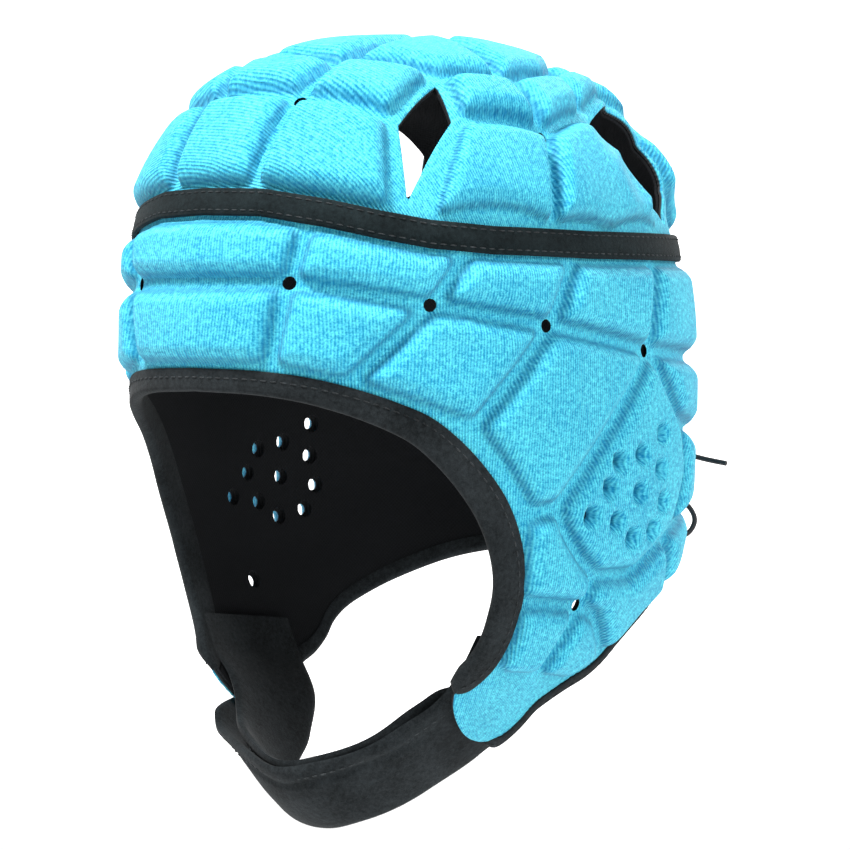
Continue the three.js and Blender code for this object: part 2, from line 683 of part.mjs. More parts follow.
function sideParts() {
  const seam = seamAngles.filter((around) => around > 0).map((around) => {
    const p = sideSpot(around, seamLength(around) + CLEARANCE / 2);
    return around < 180 ? p : p.setX(p.x - CLEARANCE / 2);
  });
  const edges = [faceEdge, tabEdge, neckEdge].flatMap((edge) => flat(edge).slice(1));
  const right = [...edges, ...slitEdge, ...seam.reverse()];
  const front = [flat(faceEdge)[0]];
  const top = [sideSpot(0, seamLength(0) + CLEARANCE / 2)];
  const outline = turned([...front, ...right, ...top, ...mirror(right)]);
  const ear = EAR_HOLES.map(({ around, down }) => sideCorner([around, down]));
  const eyelets = LACE_ROWS.map(({ down }) => {
    const p = sideCorner([180, down]);
    return circle(p.setX(p.x - LACE_SPREAD / 2), LACE_HOLE, HOLE_SIDES);
  });
  const small = SIDE_HOLES.map((name) => circle(sideCorner(SIDE_CORNERS[name]), VENT_HOLE, HOLE_SIDES));
  const holes = [...small, ...eyelets];
  const laid = [SIDE_CORNERS, sideCorner, insideSideBand];
  const pads = [
    ...SIDE_PADS.flatMap((names) => padsOf(names, ...laid)),
    ...padsOf(EAR_PAD, ...laid, ear),
    ...SIDE_CENTRE_PADS.map((pair) => centrePad(pair, ...laid)),
  ];
  return quilted(sidePattern, outline, [...holes, ...holes.map(mirror)], pads, SKIN_STEP);
}

// Band over the seam between crown and side panel
function headBand() {
  const body = new Body(sidePattern);
  const low = 2 * CLEARANCE;
  const high = low + BAND_WALL;
  const half = BAND_WIDTH / 2;
  const sections = seamAngles.slice(1).map((around) => {
    const s = seamLength(around);
    const spots = [[-half, low], [half, low], [half - BAND_BEVEL, high], [BAND_BEVEL - half, high]];
    return spots.map(([off, out]) => lift(sidePattern, sideSpot(around, s + off), out));
  });
  body.sweep(sections, true);
  return body.geometry();
}

// Rolled binding just outside an edge; the points run so that the panel lies on their left
function binding(edge) {
  const body = new Body(sidePattern);
  const sections = edge.map((p, i) => {
    const from = edge[Math.max(0, i - 1)];
    const to = edge[Math.min(edge.length - 1, i + 1)];
    const away = new THREE.Vector2(to.y - from.y, from.x - to.x).normalize();
    const soft = BINDING_WALL / 4;
    const low = BINDING_RISE - BINDING_WALL;
    const spots = [
      [CLEARANCE, low], [CLEARANCE, BINDING_RISE], [p.z - soft, BINDING_RISE], [p.z, BINDING_RISE - soft],
      [p.z, low + soft], [p.z - soft, low],
    ];
    return spots.map(([off, out]) => {
      const spot = new THREE.Vector2(p.x, p.y).addScaledVector(away, off);
      return lift(sidePattern, spot, out);
    });
  });
  body.sweep(sections, false);
  return body.geometry();
}

function flippedEdge(edge) {
  return edge.map((p) => new THREE.Vector3(-p.x, p.y, p.z)).reverse();
}

// Chin straps: the outer one is sewn inside the left tab and laps outside the right one, the inner
// one is sewn inside the right tab and lies on the outer one's inner face
const STRAP_LAYER = STRAP_WALL + CLEARANCE;
const INSIDE_TAB = -TOP_LEVEL - 4.5 * CLEARANCE;
const OUTSIDE_TAB = STRAP_WALL + BINDING_RISE + 3 * CLEARANCE;

function slingCurves(face) {
  const half = SLING.map((row) => ({ ...row, hand: 1 }));
  const full = [...half, ...half.slice(0, -1).reverse().map((row) => ({ ...row, hand: -1 }))];
  return ['front', 'rear'].map((key) => new THREE.CatmullRomCurve3(full.map((row) => {
    const p = sideCorner(row[key]);
    return new THREE.Vector3(p.x * row.hand, p.y, face(row));
  }), false, 'centripetal'));
}

// from is the sewn end and to the rounded tip, in steps of the sling from the left tab to the right
function strap(from, to, face) {
  const [front, rear] = slingCurves(face);
  const body = new Body(sidePattern);
  const steps = Math.ceil(Math.abs(to - from));
  const sections = Array.from({ length: steps + 1 }, (_, i) => {
    const t = (from + Math.sign(to - from) * Math.min(i, Math.abs(to - from))) / STRAP_TURNS;
    const round = Math.max(STRAP_TIP, Math.sin((Math.min(1, (steps - i) / TIP_STEPS) * Math.PI) / 2));
    const [a, b] = [front.getPoint(t), rear.getPoint(t)];
    const share = (k) => 0.5 + (k / STRAP_ACROSS - 0.5) * round;
    const spots = Array.from({ length: STRAP_ACROSS + 1 }, (_, k) => a.clone().lerp(b, share(k)));
    const skin = (spot, deep) => lift(sidePattern, new THREE.Vector2(spot.x, spot.y), spot.z - deep);
    const outside = spots.map((spot) => skin(spot, 0));
    return [...outside, ...spots.reverse().map((spot) => skin(spot, STRAP_WALL))];
  });
  body.sweep(sections, false);
  return body.geometry();
}

function outerStrap() {
  return strap(0, OUTER_TIP, ({ hand, tucked }) => (hand > 0 ? INSIDE_TAB : OUTSIDE_TAB) * tucked);
}

function innerStrap() {
  return strap(STRAP_TURNS, INNER_TIP, ({ hand, tucked }) => {
    if (hand > 0) return (INSIDE_TAB - 2 * CLEARANCE) * tucked - STRAP_LAYER;
    return THREE.MathUtils.lerp(-STRAP_LAYER, INSIDE_TAB, tucked);
  });
}

// How far behind the origin the back of the channel floor lies at a height
function backAt(z) {
  let low = 0;
  let high = smooth.length;
  while (high - low > NUDGE) {
    const middle = (low + high) / 2;
    if (-smooth.sample(middle)[0] < TOP_LEVEL - z) low = middle;
    else high = middle;
  }
  return smooth.sample(low)[3];
}

function behind([x, y, z], side = 1) {
  return new THREE.Vector3(x * side, y + backAt(z), z);
}

// Lace along its route
function lace(route, side) {
  const path = new THREE.CatmullRomCurve3(route.map((spot) => behind(spot, side)), false, 'centripetal');
  const section = new THREE.Shape(circle(new THREE.Vector2(), LACE, LACE_SIDES));
  const steps = Math.round(path.getLength() / LACE_STEP);
  const way = { steps, extrudePath: path, bevelEnabled: false, curveSegments: 1 };
  return new THREE.ExtrudeGeometry(section, way);
}

function laceKnot() {
  const knot = new THREE.IcosahedronGeometry(0.5, 1).scale(KNOT_WIDE, KNOT_DEEP, KNOT_TALL);
  return knot.translate(...behind(KNOT_SPOT));
}

// Assembly
const cloth = (color, roughness) => new THREE.MeshStandardMaterial({ color, roughness, metalness: 0 });
const FINISHES = {
  padded: cloth(COLOURS.cyan, 0.72),
  trim: cloth(COLOURS.charcoal, 0.9),
  lining: cloth(COLOURS.black, 0.95),
  cord: cloth(COLOURS.black, 0.6),
};

const cap = new THREE.Group();
function add(name, geometry, finish) {
  const mesh = new THREE.Mesh(geometry, FINISHES[finish]);
  mesh.name = name;
  cap.add(mesh);
}

const crown = crownParts();
const side = sideParts();
const whole = [...flippedEdge(faceEdge), ...faceEdge.slice(1)];
const slitBinding = [...neckEdge.slice(1, -1)];
add('crown_panel', crown.panel, 'padded');
add('crown_lining', crown.lining, 'lining');
add('side_panel', side.panel, 'padded');
add('side_lining', side.lining, 'lining');
add('head_band', headBand(), 'trim');
add('face_binding', binding(whole), 'trim');
add('neck_binding_left', binding(slitBinding), 'trim');
add('neck_binding_right', binding(flippedEdge(slitBinding)), 'trim');
add('chin_strap_outer', outerStrap(), 'trim');
add('chin_strap_inner', innerStrap(), 'trim');
add('lace_lacing', lace(LACING_ROUTE), 'cord');
add('lace_knot', laceKnot(), 'cord');
for (const [hand, way] of [['left', 1], ['right', -1]]) {
  add(`lace_loop_${hand}`, lace(LOOP_ROUTE, way), 'cord');
  add(`lace_tail_${hand}`, lace(TAIL_ROUTE, way), 'cord');
}

export default cap;
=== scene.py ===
"""Rugby scrum cap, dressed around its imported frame.

Sizes are in millimetres in the frame's own axes: +Z up, the wearer looks along -Y and the wearer's
left is +X, with the origin at the inside of the top of the crown. Meshes are made in metres.
"""

from __future__ import annotations

import logging
import math
from collections.abc import Callable, Sequence
from dataclasses import dataclass
from enum import Enum

import bpy
import numpy as np
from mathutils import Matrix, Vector


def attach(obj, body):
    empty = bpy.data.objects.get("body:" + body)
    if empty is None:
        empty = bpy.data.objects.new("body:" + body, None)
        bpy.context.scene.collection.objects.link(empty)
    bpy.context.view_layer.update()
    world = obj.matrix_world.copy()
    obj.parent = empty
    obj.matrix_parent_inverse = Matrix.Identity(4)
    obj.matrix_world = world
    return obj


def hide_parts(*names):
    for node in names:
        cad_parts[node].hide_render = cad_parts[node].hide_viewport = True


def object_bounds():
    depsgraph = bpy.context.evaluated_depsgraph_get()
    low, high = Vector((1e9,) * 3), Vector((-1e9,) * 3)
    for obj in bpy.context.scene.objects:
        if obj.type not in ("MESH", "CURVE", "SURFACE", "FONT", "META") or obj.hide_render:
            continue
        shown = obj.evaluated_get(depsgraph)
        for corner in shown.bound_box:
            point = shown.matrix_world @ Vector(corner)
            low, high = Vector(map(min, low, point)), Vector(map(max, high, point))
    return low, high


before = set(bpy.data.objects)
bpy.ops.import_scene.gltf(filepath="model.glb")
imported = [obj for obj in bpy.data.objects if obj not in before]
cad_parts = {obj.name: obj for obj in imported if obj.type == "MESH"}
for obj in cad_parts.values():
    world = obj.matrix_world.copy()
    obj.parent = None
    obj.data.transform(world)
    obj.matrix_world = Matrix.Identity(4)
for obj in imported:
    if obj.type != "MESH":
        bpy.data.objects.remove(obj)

CAD_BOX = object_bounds()
LOG = logging.getLogger("scrum_cap")
MM = 0.001

# Walls, pads and trim
PANEL_WALL = 1.8
LINING_WALL = 0.9
CLEARANCE = 0.3
PAD_RISE = 6.2
SIDE_RISE = 5.0
PAD_SHOULDER = 9.0
PAD_CROWN = 1.1
PAD_CORNER = 1.45
CHANNEL_WIDTH = 3.8
VENT_HOLE = 4.2
EAR_HOLE = 4.0
EAR_DIMPLE = 8.6
BAND_WIDTH = 8.8
BAND_WALL = 1.4
FACE_BINDING = 11.0
BINDING_RISE = 0.9
BINDING_WALL = 4.2
NECK_BINDING = 4.4
STRAP_WALL = 3.0
SLIT_WIDTH = 9.0
LACE = 1.8
LACE_HOLE = 5.4
LACE_SPREAD = 20.4

# Head form: its profile's shares, and the flat patterns laid on it
CROWN_SHARE = 0.332
SIDE_SHARE = 0.4705
FEEL = 0.4
TINY = 1e-6


@dataclass(frozen=True)
class HeadForm:
    """The head form, measured at the floor of the channels between the pads."""

    width: float = 164.0
    front: float = 98.0
    back: float = 99.0
    drop: float = 260.0
    top: float = PANEL_WALL + CLEARANCE + LINING_WALL
    # The brow's sides are drawn in, most at brow_turn degrees and from brow_top down the profile
    brow_draw: float = 3.8
    brow_turn: float = 47.0
    brow_spread: float = 24.0
    brow_top: float = 114.0
    brow_ease: float = 45.0
    brow_depth: float = 70.0
    brow_fade: float = 60.0
    # drop, half width, front, back as shares of the sizes above, and the outline's power
    sections: tuple[tuple[float, ...], ...] = (
        (0, 0, 0, 0, 2),
        (0.006, 0.268, 0.276, 0.273, 2),
        (0.027, 0.512, 0.52, 0.515, 2),
        (0.058, 0.683, 0.694, 0.697, 2.05),
        (0.108, 0.817, 0.827, 0.828, 2.1),
        (0.173, 0.915, 0.918, 0.919, 2.15),
        (0.25, 0.963, 0.969, 0.97, 2.2),
        (0.339, 0.988, 1, 1, 2.2),
        (0.435, 1, 1, 1, 2.2),
        (0.531, 1, 0.969, 0.98, 2.2),
        (0.627, 0.963, 0.929, 0.929, 2.2),
        (0.704, 0.89, 0.878, 0.848, 2.2),
        (0.762, 0.805, 0.816, 0.758, 2.2),
        (0.819, 0.683, 0.735, 0.646, 2.2),
        (0.877, 0.55, 0.633, 0.505, 2.2),
        (0.935, 0.41, 0.531, 0.364, 2.2),
        (0.973, 0.27, 0.408, 0.202, 2.2),
        (1, 0, 0, 0, 2),
    )

    def rows(self) -> tuple[np.ndarray, np.ndarray, np.ndarray]:
        """Work out the sections along the profile.

        Returns:
            The length down the profile at each section, the sections' values and their slopes.
        """
        drop, wide, front, back, square = np.array(self.sections, float).T
        values = np.stack([-drop * self.drop, wide * self.width / 2, front * self.front,
                           back * self.back, square], 1)
        fall = np.diff(values[:, 0])
        spread = np.diff(values[:, 2] + values[:, 3]) / 2
        at = np.concatenate([[0.0], np.cumsum(np.hypot(fall, spread))])
        gap = np.diff(at)[:, None]
        rise = np.diff(values, axis=0) / gap
        one, two = 2 * gap[1:] + gap[:-1], gap[1:] + 2 * gap[:-1]
        same = rise[:-1] * rise[1:] > 0
        safe = np.where(same, rise[:-1], 1), np.where(same, rise[1:], 1)
        inner = np.where(same, (one + two) / (one / safe[0] + two / safe[1]), 0)
        return at, values, np.vstack([rise[0], inner, rise[-1]])

    def sample(self, s: np.ndarray) -> np.ndarray:
        """Read the sections at lengths down the profile.

        Args:
            s: lengths down the profile.

        Returns:
            A row for each length: height, half width, front, back and outline power.
        """
        at, values, slope = ROWS
        i = np.clip(np.searchsorted(at, s, side="right") - 1, 0, len(at) - 2)
        step = (at[i + 1] - at[i])[:, None]
        t = ((s - at[i]) / step[:, 0])[:, None]
        u = 1 - t
        return (values[i] * (1 + 2 * t) * u * u + slope[i] * step * t * u * u
                + values[i + 1] * t * t * (3 - 2 * t) - slope[i + 1] * step * t * t * u)

    def point(self, around: np.ndarray, s: np.ndarray) -> np.ndarray:
        """Find points of the head form.

        Args:
            around: degrees round from the front, to the wearer's left.
            s: lengths down the profile.

        Returns:
            The points, in millimetres.
        """
        fall, wide, front, back, square = self.sample(np.maximum(s, TINY)).T
        turn = np.radians(around)
        side, ahead = np.sin(turn), np.cos(turn)
        draw = np.exp(-((np.abs(around) - self.brow_turn) / self.brow_spread) ** 2) * self.brow_draw
        draw = draw * eased((s - self.brow_top) / self.brow_ease)
        draw = draw * (1 - eased((s - self.brow_top - self.brow_depth) / self.brow_fade))
        long = np.where(ahead > 0, front, back)
        reach = (np.abs(side / wide) ** square + np.abs(ahead / long) ** square) ** (-1 / square)
        reach = reach - draw
        return np.stack([reach * side, -reach * ahead, fall + self.top], -1)


HEAD = HeadForm()
ROWS = HEAD.rows()
CROWN_REACH = ROWS[0][-1] * CROWN_SHARE
SIDE_REACH = ROWS[0][-1] * SIDE_SHARE
GIRTH = (HEAD.front + HEAD.back + HEAD.width) / 4


class Pattern(Enum):
    """The flat patterns that the panels are cut from."""

    CROWN = "crown"
    SIDE = "side"

    def spot(self, flat: np.ndarray) -> tuple[np.ndarray, np.ndarray]:
        """Give degrees round and length down for flat pattern points."""
        if self is Pattern.CROWN:
            return np.degrees(np.arctan2(flat[:, 0], -flat[:, 1])), np.hypot(flat[:, 0], flat[:, 1])
        return np.degrees(flat[:, 0] / GIRTH), -flat[:, 1]

    def lift(self, flat: np.ndarray, out: np.ndarray | float) -> np.ndarray:
        """Place flat pattern points on the head form.

        Args:
            flat: pattern points.
            out: how far outside the head form each one lies.

        Returns:
            The points, in millimetres.
        """
        def at(x: float, y: float) -> np.ndarray:
            return HEAD.point(*self.spot(flat + np.array([x, y])))

        normal = np.cross(at(FEEL, 0) - at(-FEEL, 0), at(0, FEEL) - at(0, -FEEL))
        normal /= np.linalg.norm(normal, axis=1, keepdims=True)
        return at(0, 0) + normal * np.broadcast_to(out, len(flat))[:, None]


# Seam between crown and side panel: degrees from the front, hundredths down the side panel
SEAM = np.array([
    (0, -5.8), (14, -5.4), (27, -3.4), (38, -1.2), (48, 0.4), (62, 1.4), (90, 2), (180, 2.1),
])
# Spare cloth to cut from: below the seam for the crown, above it and past the back for the side
CROWN_SPARE = 4
SIDE_SPARE = 12
BACK_SPARE = 1

# Face opening from the brow to the chin tab: degrees, hundredths down, share of the binding's width
FACE_EDGE = (
    (0, 24.9, 0.58), (14, 25.3, 0.6), (24, 26.4, 0.64), (33, 28.4, 0.69), (42, 31.2, 0.76),
    (48, 33.6, 0.84), (54.5, 38, 0.91), (60, 43, 0.96), (64.5, 48.4, 1), (67.8, 54.5, 1),
    (69.7, 60.4, 1), (70.3, 66, 1), (69.6, 71.6, 1), (68, 76.6, 0.96), (65.2, 80.9, 0.91),
    (61, 84.2, 0.82), (56.5, 86.3, 0.73),
)
TAB_EDGE = (
    (56.8, 89.5), (59.5, 93.8), (64, 97.1), (72, 98.9), (80, 97.8), (85, 94.5), (88.5, 90.2),
)
NECK_EDGE = (
    (93, 87.6), (99, 85), (105, 83), (109.5, 80.4), (113, 77), (118, 73.6), (126, 70), (135, 66.6),
    (147, 62.8), (158, 60.8), (170, 59.6),
)
# Back opening from the neck up: hundredths down, share of its width
SLIT = ((59, 1), (43, 0.8), (27, 0.04))

# Corners where the sewn channels meet: hundredths of the crown's reach, across and along
CROWN_CORNERS = {
    "a0": (17.5, -92), "a1": (15.6, -59), "a2": (15.4, -41), "a3": (15.4, -5), "b3": (15.4, 33),
    "b2": (15.6, 55), "b1": (17.5, 99), "d1": (44, -53.5), "d2": (63, -74), "c1": (41, -31),
    "f1": (52, -10.5), "g1": (57.5, -37.5), "g2": (72, -8.6), "h1": (72.5, -66), "h2": (97, -20),
    "i1": (48, 14.5), "i2": (62.5, 19.5), "j1": (99, 15), "j2": (82, 57), "k1": (26.5, 35),
    "l2": (43.5, 39.5), "m1": (42.5, 58), "n1": (54, 67.5), "n2": (52, 86),
}
# Side corners: degrees round, hundredths down the side panel
SIDE_CORNERS = {
    "t1": (25, -4), "t2": (59, 0), "t3": (87, 0), "t4": (116.5, 0), "t5": (148, 0), "t6": (180, 0),
    "a": (20.8, 9.1), "b": (48.1, 13.1), "c": (76, 16.8), "d": (110, 21.5), "e": (148, 23.5),
    "e6": (180, 22.5), "f1": (17.3, 24.4), "f2": (31.8, 27.2), "f3": (57, 34.8), "f4": (64, 42),
    "f5": (70.5, 50.4), "g": (77.5, 49.7), "r1": (124.5, 34.7), "r2": (128, 44), "r3": (121.5, 56),
    "r4": (106, 63.2), "r5": (92.5, 63), "r6": (86.5, 59.5), "r7": (81, 54.8), "h0": (68.8, 51.5),
    "h": (89.5, 68.8), "h1": (69, 67), "h2": (65.8, 79.4), "q1": (68.5, 82.4), "q2": (80.5, 83.2),
    "q3": (95, 85), "n1": (107, 80.2), "n2": (96.5, 71), "n3": (128, 68.2), "n4": (148, 61.4),
    "n5": (164, 59.2), "h3": (68.2, 74.2), "n6": (117, 73), "v1": (147, 38), "v2": (147, 51),
    "w1": (164, 23), "w2": (164, 41),
}
CROWN_CENTRE_PADS = ("a0 a1", "a1 a2", "a2 a3", "a3 b3", "b3 b2", "b2 b1")
CROWN_PADS = (
    "a0 a1 d1 d2", "a1 a2 c1 d1", "a2 a3 f1 c1", "c1 f1 g2 g1", "g1 g2 h2 h1", "f1 i1 i2 g2",
    "g2 i2 j2 j1 h2", "a3 f1 i1 k1 b3", "i1 i2 l2 m1 k1", "b3 k1 m1 b2", "b2 m1 n1 n2 b1",
)
SIDE_CENTRE_PADS = ("t1 a", "a f1")
SIDE_PADS = (
    "t1 t2 b a", "t2 t3 c b", "t3 t4 d c", "t4 t5 e d", "t5 t6 e6 e", "a b f2 f1", "b c f3 f2",
    "c d g f5 f4 f3", "d e v1 r1", "h0 g r7 r6 r5 h h1", "h1 h q2 q1 h2 h3", "h n2 n1 q3 q2",
    "r5 r4 r3 n3 n6 n1 n2 h", "r1 v1 v2 r3 r2", "r3 v2 n4 n3", "e w1 w2 v1", "v1 w2 n5 n4 v2",
)
EAR_PAD = "d r1 r2 r3 r4 r5 r6 r7 g"
CROWN_HOLES = ("a1", "g2", "b2")
SIDE_HOLES = ("a", "b", "c", "d", "e", "h")
EAR_HOLES = (
    (112, 37), (103.5, 40.6), (95.5, 41.8), (111.5, 43.5), (92, 46.5), (102.8, 47.6), (113, 49.6),
    (86.5, 51.4), (95.2, 52.6), (109.5, 54.6), (101.5, 55.8),
)
LACE_ROWS = (37.7, 47, 55.9)
CROWN_VENTS = (
    ((42.5, -32.5), (45.8, -52.5), (63.5, -67), (56, -39)),
    ((64, 21.5), (46, 40.5), (45.5, 57), (55, 65.5), (72, 64), (76.5, 48)),
)

# Chin sling from the tab to the middle: front edge, rear edge, and 1 where it lies in or on the tab
SLING = (
    ((62, 75), (97, 78), 1), ((58, 84), (97, 87), 1), ((54, 90), (95, 96), 1),
    ((43, 96), (80, 105.2), 0.9), ((29, 100.2), (54, 111.6), 0.3), ((14, 103.6), (26, 118.6), 0),
    ((0, 105), (0, 124.2), 0),
)
# Steps of the sling from the left tab to the right, and where each strap's rounded tip lies
STRAP_TURNS = 24
OUTER_TIP = 20.5
INNER_TIP = 2.5
TIP_STEPS = 1.8
STRAP_TIP = 0.45
# How far out a strap lies inside a tab, outside one, and under the other strap
INSIDE_TAB = -HEAD.top - 4.5 * CLEARANCE
OUTSIDE_TAB = STRAP_WALL + BINDING_RISE + 3 * CLEARANCE
STRAP_LAYER = STRAP_WALL + CLEARANCE

# Lace routes: across, behind the back of the channel floor, and above the origin
LACING_ROUTE = (
    (2.2, 5.6, -126), (5, 4.6, -124.4), (8.4, 3.2, -121.8), (10.7, 0.6, -120.8), (11, -3.2, -121),
    (11, -5.7, -123.4), (11, -6.2, -128), (11, -6.1, -133), (11, -4, -136.4), (10.6, 0.6, -137.2),
    (8, 2.5, -139), (4, 2.7, -142.2), (0, 2.7, -145.6), (-4, 2.7, -148.6), (-8, 2.5, -151),
    (-10.6, 0.6, -152.2), (-10.9, -3, -152.2), (-8, -5.2, -152.4), (0, -5.6, -152.6),
    (8, -5.2, -152.4), (10.9, -3, -152.2), (10.6, 0.6, -152.2), (8, 3, -151), (4, 5, -148.6),
    (0, 5.4, -145.6), (-4, 5, -142.2), (-8, 3, -139), (-10.6, 0.6, -137.2), (-11, -4, -136.4),
    (-11, -6.1, -133), (-11, -6.2, -128), (-11, -5.7, -123.4), (-11, -3.2, -121),
    (-10.7, 0.6, -120.8), (-8.4, 3.2, -121.8), (-5, 4.6, -124.4), (-2.2, 5.6, -126),
)
LOOP_ROUTE = (
    (3, 8.6, -129.2), (8, 11.4, -132), (15.6, 15.6, -138), (23.6, 19.4, -145.6),
    (28.5, 21.4, -150.2), (30.1, 21.9, -153.8), (29.1, 21, -157.6), (26, 19.2, -159.3),
    (22.6, 17.6, -158), (17.1, 14.8, -150.4), (12, 12.2, -143.3), (7.4, 9.8, -137),
    (2.2, 8, -132),
)
TAIL_ROUTE = (
    (2.9, 8.4, -126.6), (8, 11.8, -126.4), (15, 16, -127.8), (23, 19.6, -130), (31, 22.2, -132),
    (39.5, 24, -133.4),
)


def seam_length(around: np.ndarray) -> np.ndarray:
    """Give the length down the profile of the seam at degrees round."""
    return CROWN_REACH + np.interp(np.abs(around), SEAM[:, 0], SEAM[:, 1]) / 100 * SIDE_REACH


def side_flat(corners: Sequence[Sequence[float]]) -> np.ndarray:
    """Turn degrees round and hundredths down into side pattern points."""
    table = np.asarray(corners, float)
    down = -CROWN_REACH - table[:, 1] / 100 * SIDE_REACH
    return np.stack([np.radians(table[:, 0]) * GIRTH, down], 1)


def crown_flat(corners: Sequence[Sequence[float]]) -> np.ndarray:
    """Turn hundredths of the crown's reach into crown pattern points."""
    return np.asarray(corners, float) * CROWN_REACH / 100


@dataclass(frozen=True)
class Curve:
    """A smooth curve through points, with spacing by the root of their distances."""

    points: np.ndarray

    def at(self, t: np.ndarray) -> np.ndarray:
        """Read the curve at shares of its points' count, from 0 to 1."""
        p = self.points
        ends = np.vstack([2 * p[0] - p[1], p, 2 * p[-1] - p[-2]])
        x = np.clip(np.asarray(t, float) * (len(p) - 1), 0, len(p) - 1 - TINY)
        i = x.astype(int)
        u = (x - i)[:, None]
        a, b, c, d = (ends[i + k] for k in range(4))
        g, h, k = (np.maximum(np.linalg.norm(two - one, axis=1, keepdims=True) ** 0.5, TINY)
                   for one, two in ((a, b), (b, c), (c, d)))
        start = ((b - a) / g - (c - a) / (g + h) + (c - b) / h) * h
        end = ((c - b) / h - (d - b) / (h + k) + (d - c) / k) * h
        square, cube = 3 * c - 3 * b - 2 * start - end, 2 * b - 2 * c + start + end
        return b + start * u + square * u**2 + cube * u**3

    def even(self, step: float) -> np.ndarray:
        """Give points at even steps of about the given length."""
        fine = self.at(np.linspace(0, 1, 40 * len(self.points)))
        run = np.concatenate([[0.0], np.cumsum(np.linalg.norm(np.diff(fine, axis=0), axis=1))])
        stops = np.linspace(0, run[-1], max(3, round(run[-1] / step) + 1))
        return np.stack([np.interp(stops, run, column) for column in fine.T], 1)


def edge_curve(rows: Sequence[Sequence[float]], step: float) -> np.ndarray:
    """Give an edge of the side pattern at even steps, with its binding's width as third value."""
    wide = [row[2] * FACE_BINDING if len(row) > 2 else NECK_BINDING for row in rows]
    return Curve(np.column_stack([side_flat([row[:2] for row in rows]), wide])).even(step)


def side_distance(points: np.ndarray, ring: np.ndarray) -> np.ndarray:
    """Measure how far inside a closed ring points lie.

    Args:
        points: flat points.
        ring: the ring's corners.

    Returns:
        Distances to the ring, negative outside it.
    """
    batch = 8192
    found = np.empty(len(points))
    after = np.roll(ring, -1, axis=0)
    run = after - ring
    for start in range(0, len(points), batch):
        p = points[start:start + batch, None, :]
        t = np.clip(((p - ring) * run).sum(-1) / (run**2).sum(-1), 0, 1)
        gap = np.sqrt(((p - ring - t[..., None] * run) ** 2).sum(-1)).min(1)
        level = (ring[:, 1] > p[..., 1]) != (after[:, 1] > p[..., 1])
        with np.errstate(divide="ignore", invalid="ignore"):
            across = run[:, 0] * (p[..., 1] - ring[:, 1]) / run[:, 1] + ring[:, 0]
        inside = (level & (p[..., 0] < across)).sum(1) % 2 == 1
        found[start:start + batch] = np.where(inside, gap, -gap)
    return found


def mirrored(flat: np.ndarray) -> np.ndarray:
    """Give the other half's points, in the turn of a ring."""
    return (flat * np.array([-1, 1]))[::-1]


def eased(value: np.ndarray) -> np.ndarray:
    """Ease a share of 0 to 1 in and out."""
    t = np.clip(value, 0, 1)
    return t * t * (3 - 2 * t)


def blurred(values: np.ndarray, reach: float) -> np.ndarray:
    """Blur a raster by a bell of the given reach, in cells."""
    rows = np.fft.fftfreq(values.shape[0])[:, None]
    columns = np.fft.rfftfreq(values.shape[1])[None]
    bell = np.exp(-2 * (math.pi * reach) ** 2 * (rows**2 + columns**2))
    return np.fft.irfft2(np.fft.rfft2(values) * bell, values.shape)


class Raster:
    """Values over a flat pattern, in even cells."""

    def __init__(self, low: Sequence[float], high: Sequence[float], cell: float) -> None:
        """Lay out cells from the low corner to the high one."""
        self.low = np.asarray(low, float)
        self.cell = cell
        cells = [max(1, int(math.ceil((end - start) / cell)) + 1) for start, end in zip(low, high)]
        self.shape = tuple(cells[::-1])
        self.values = np.zeros(self.shape)

    def part(self, first: Sequence[int], last: Sequence[int]) -> Raster:
        """Give an empty raster over the cells from one column and row to another."""
        area = Raster(self.low + np.asarray(first) * self.cell, self.low, self.cell)
        area.shape = (int(last[1] - first[1]) + 1, int(last[0] - first[0]) + 1)
        area.values = np.zeros(area.shape)
        return area

    def spots(self) -> np.ndarray:
        """Give the flat point of every cell, row by row."""
        rows, columns = np.indices(self.shape)
        return np.stack([columns, rows], -1).reshape(-1, 2) * self.cell + self.low

    def read(self, flat: np.ndarray) -> np.ndarray:
        """Read the raster between its cells at flat points."""
        x, y = np.clip((flat - self.low) / self.cell, 0, np.array(self.shape[::-1]) - 1 - TINY).T
        i, j = x.astype(int), y.astype(int)
        u, v = x - i, y - j
        grid = self.values
        return ((grid[j, i] * (1 - u) + grid[j, i + 1] * u) * (1 - v)
                + (grid[j + 1, i] * (1 - u) + grid[j + 1, i + 1] * u) * v)


@dataclass(frozen=True)
class Pad:
    """One foam pad by the channel corners round it, with any dimples in it."""

    ring: np.ndarray
    dimples: tuple[tuple[float, float], ...] = ()

    def window(self) -> tuple[np.ndarray, np.ndarray]:
        """Give the corners of the pad's surroundings."""
        margin = 3 * PAD_CORNER + CHANNEL_WIDTH
        return self.ring.min(0) - margin, self.ring.max(0) + margin


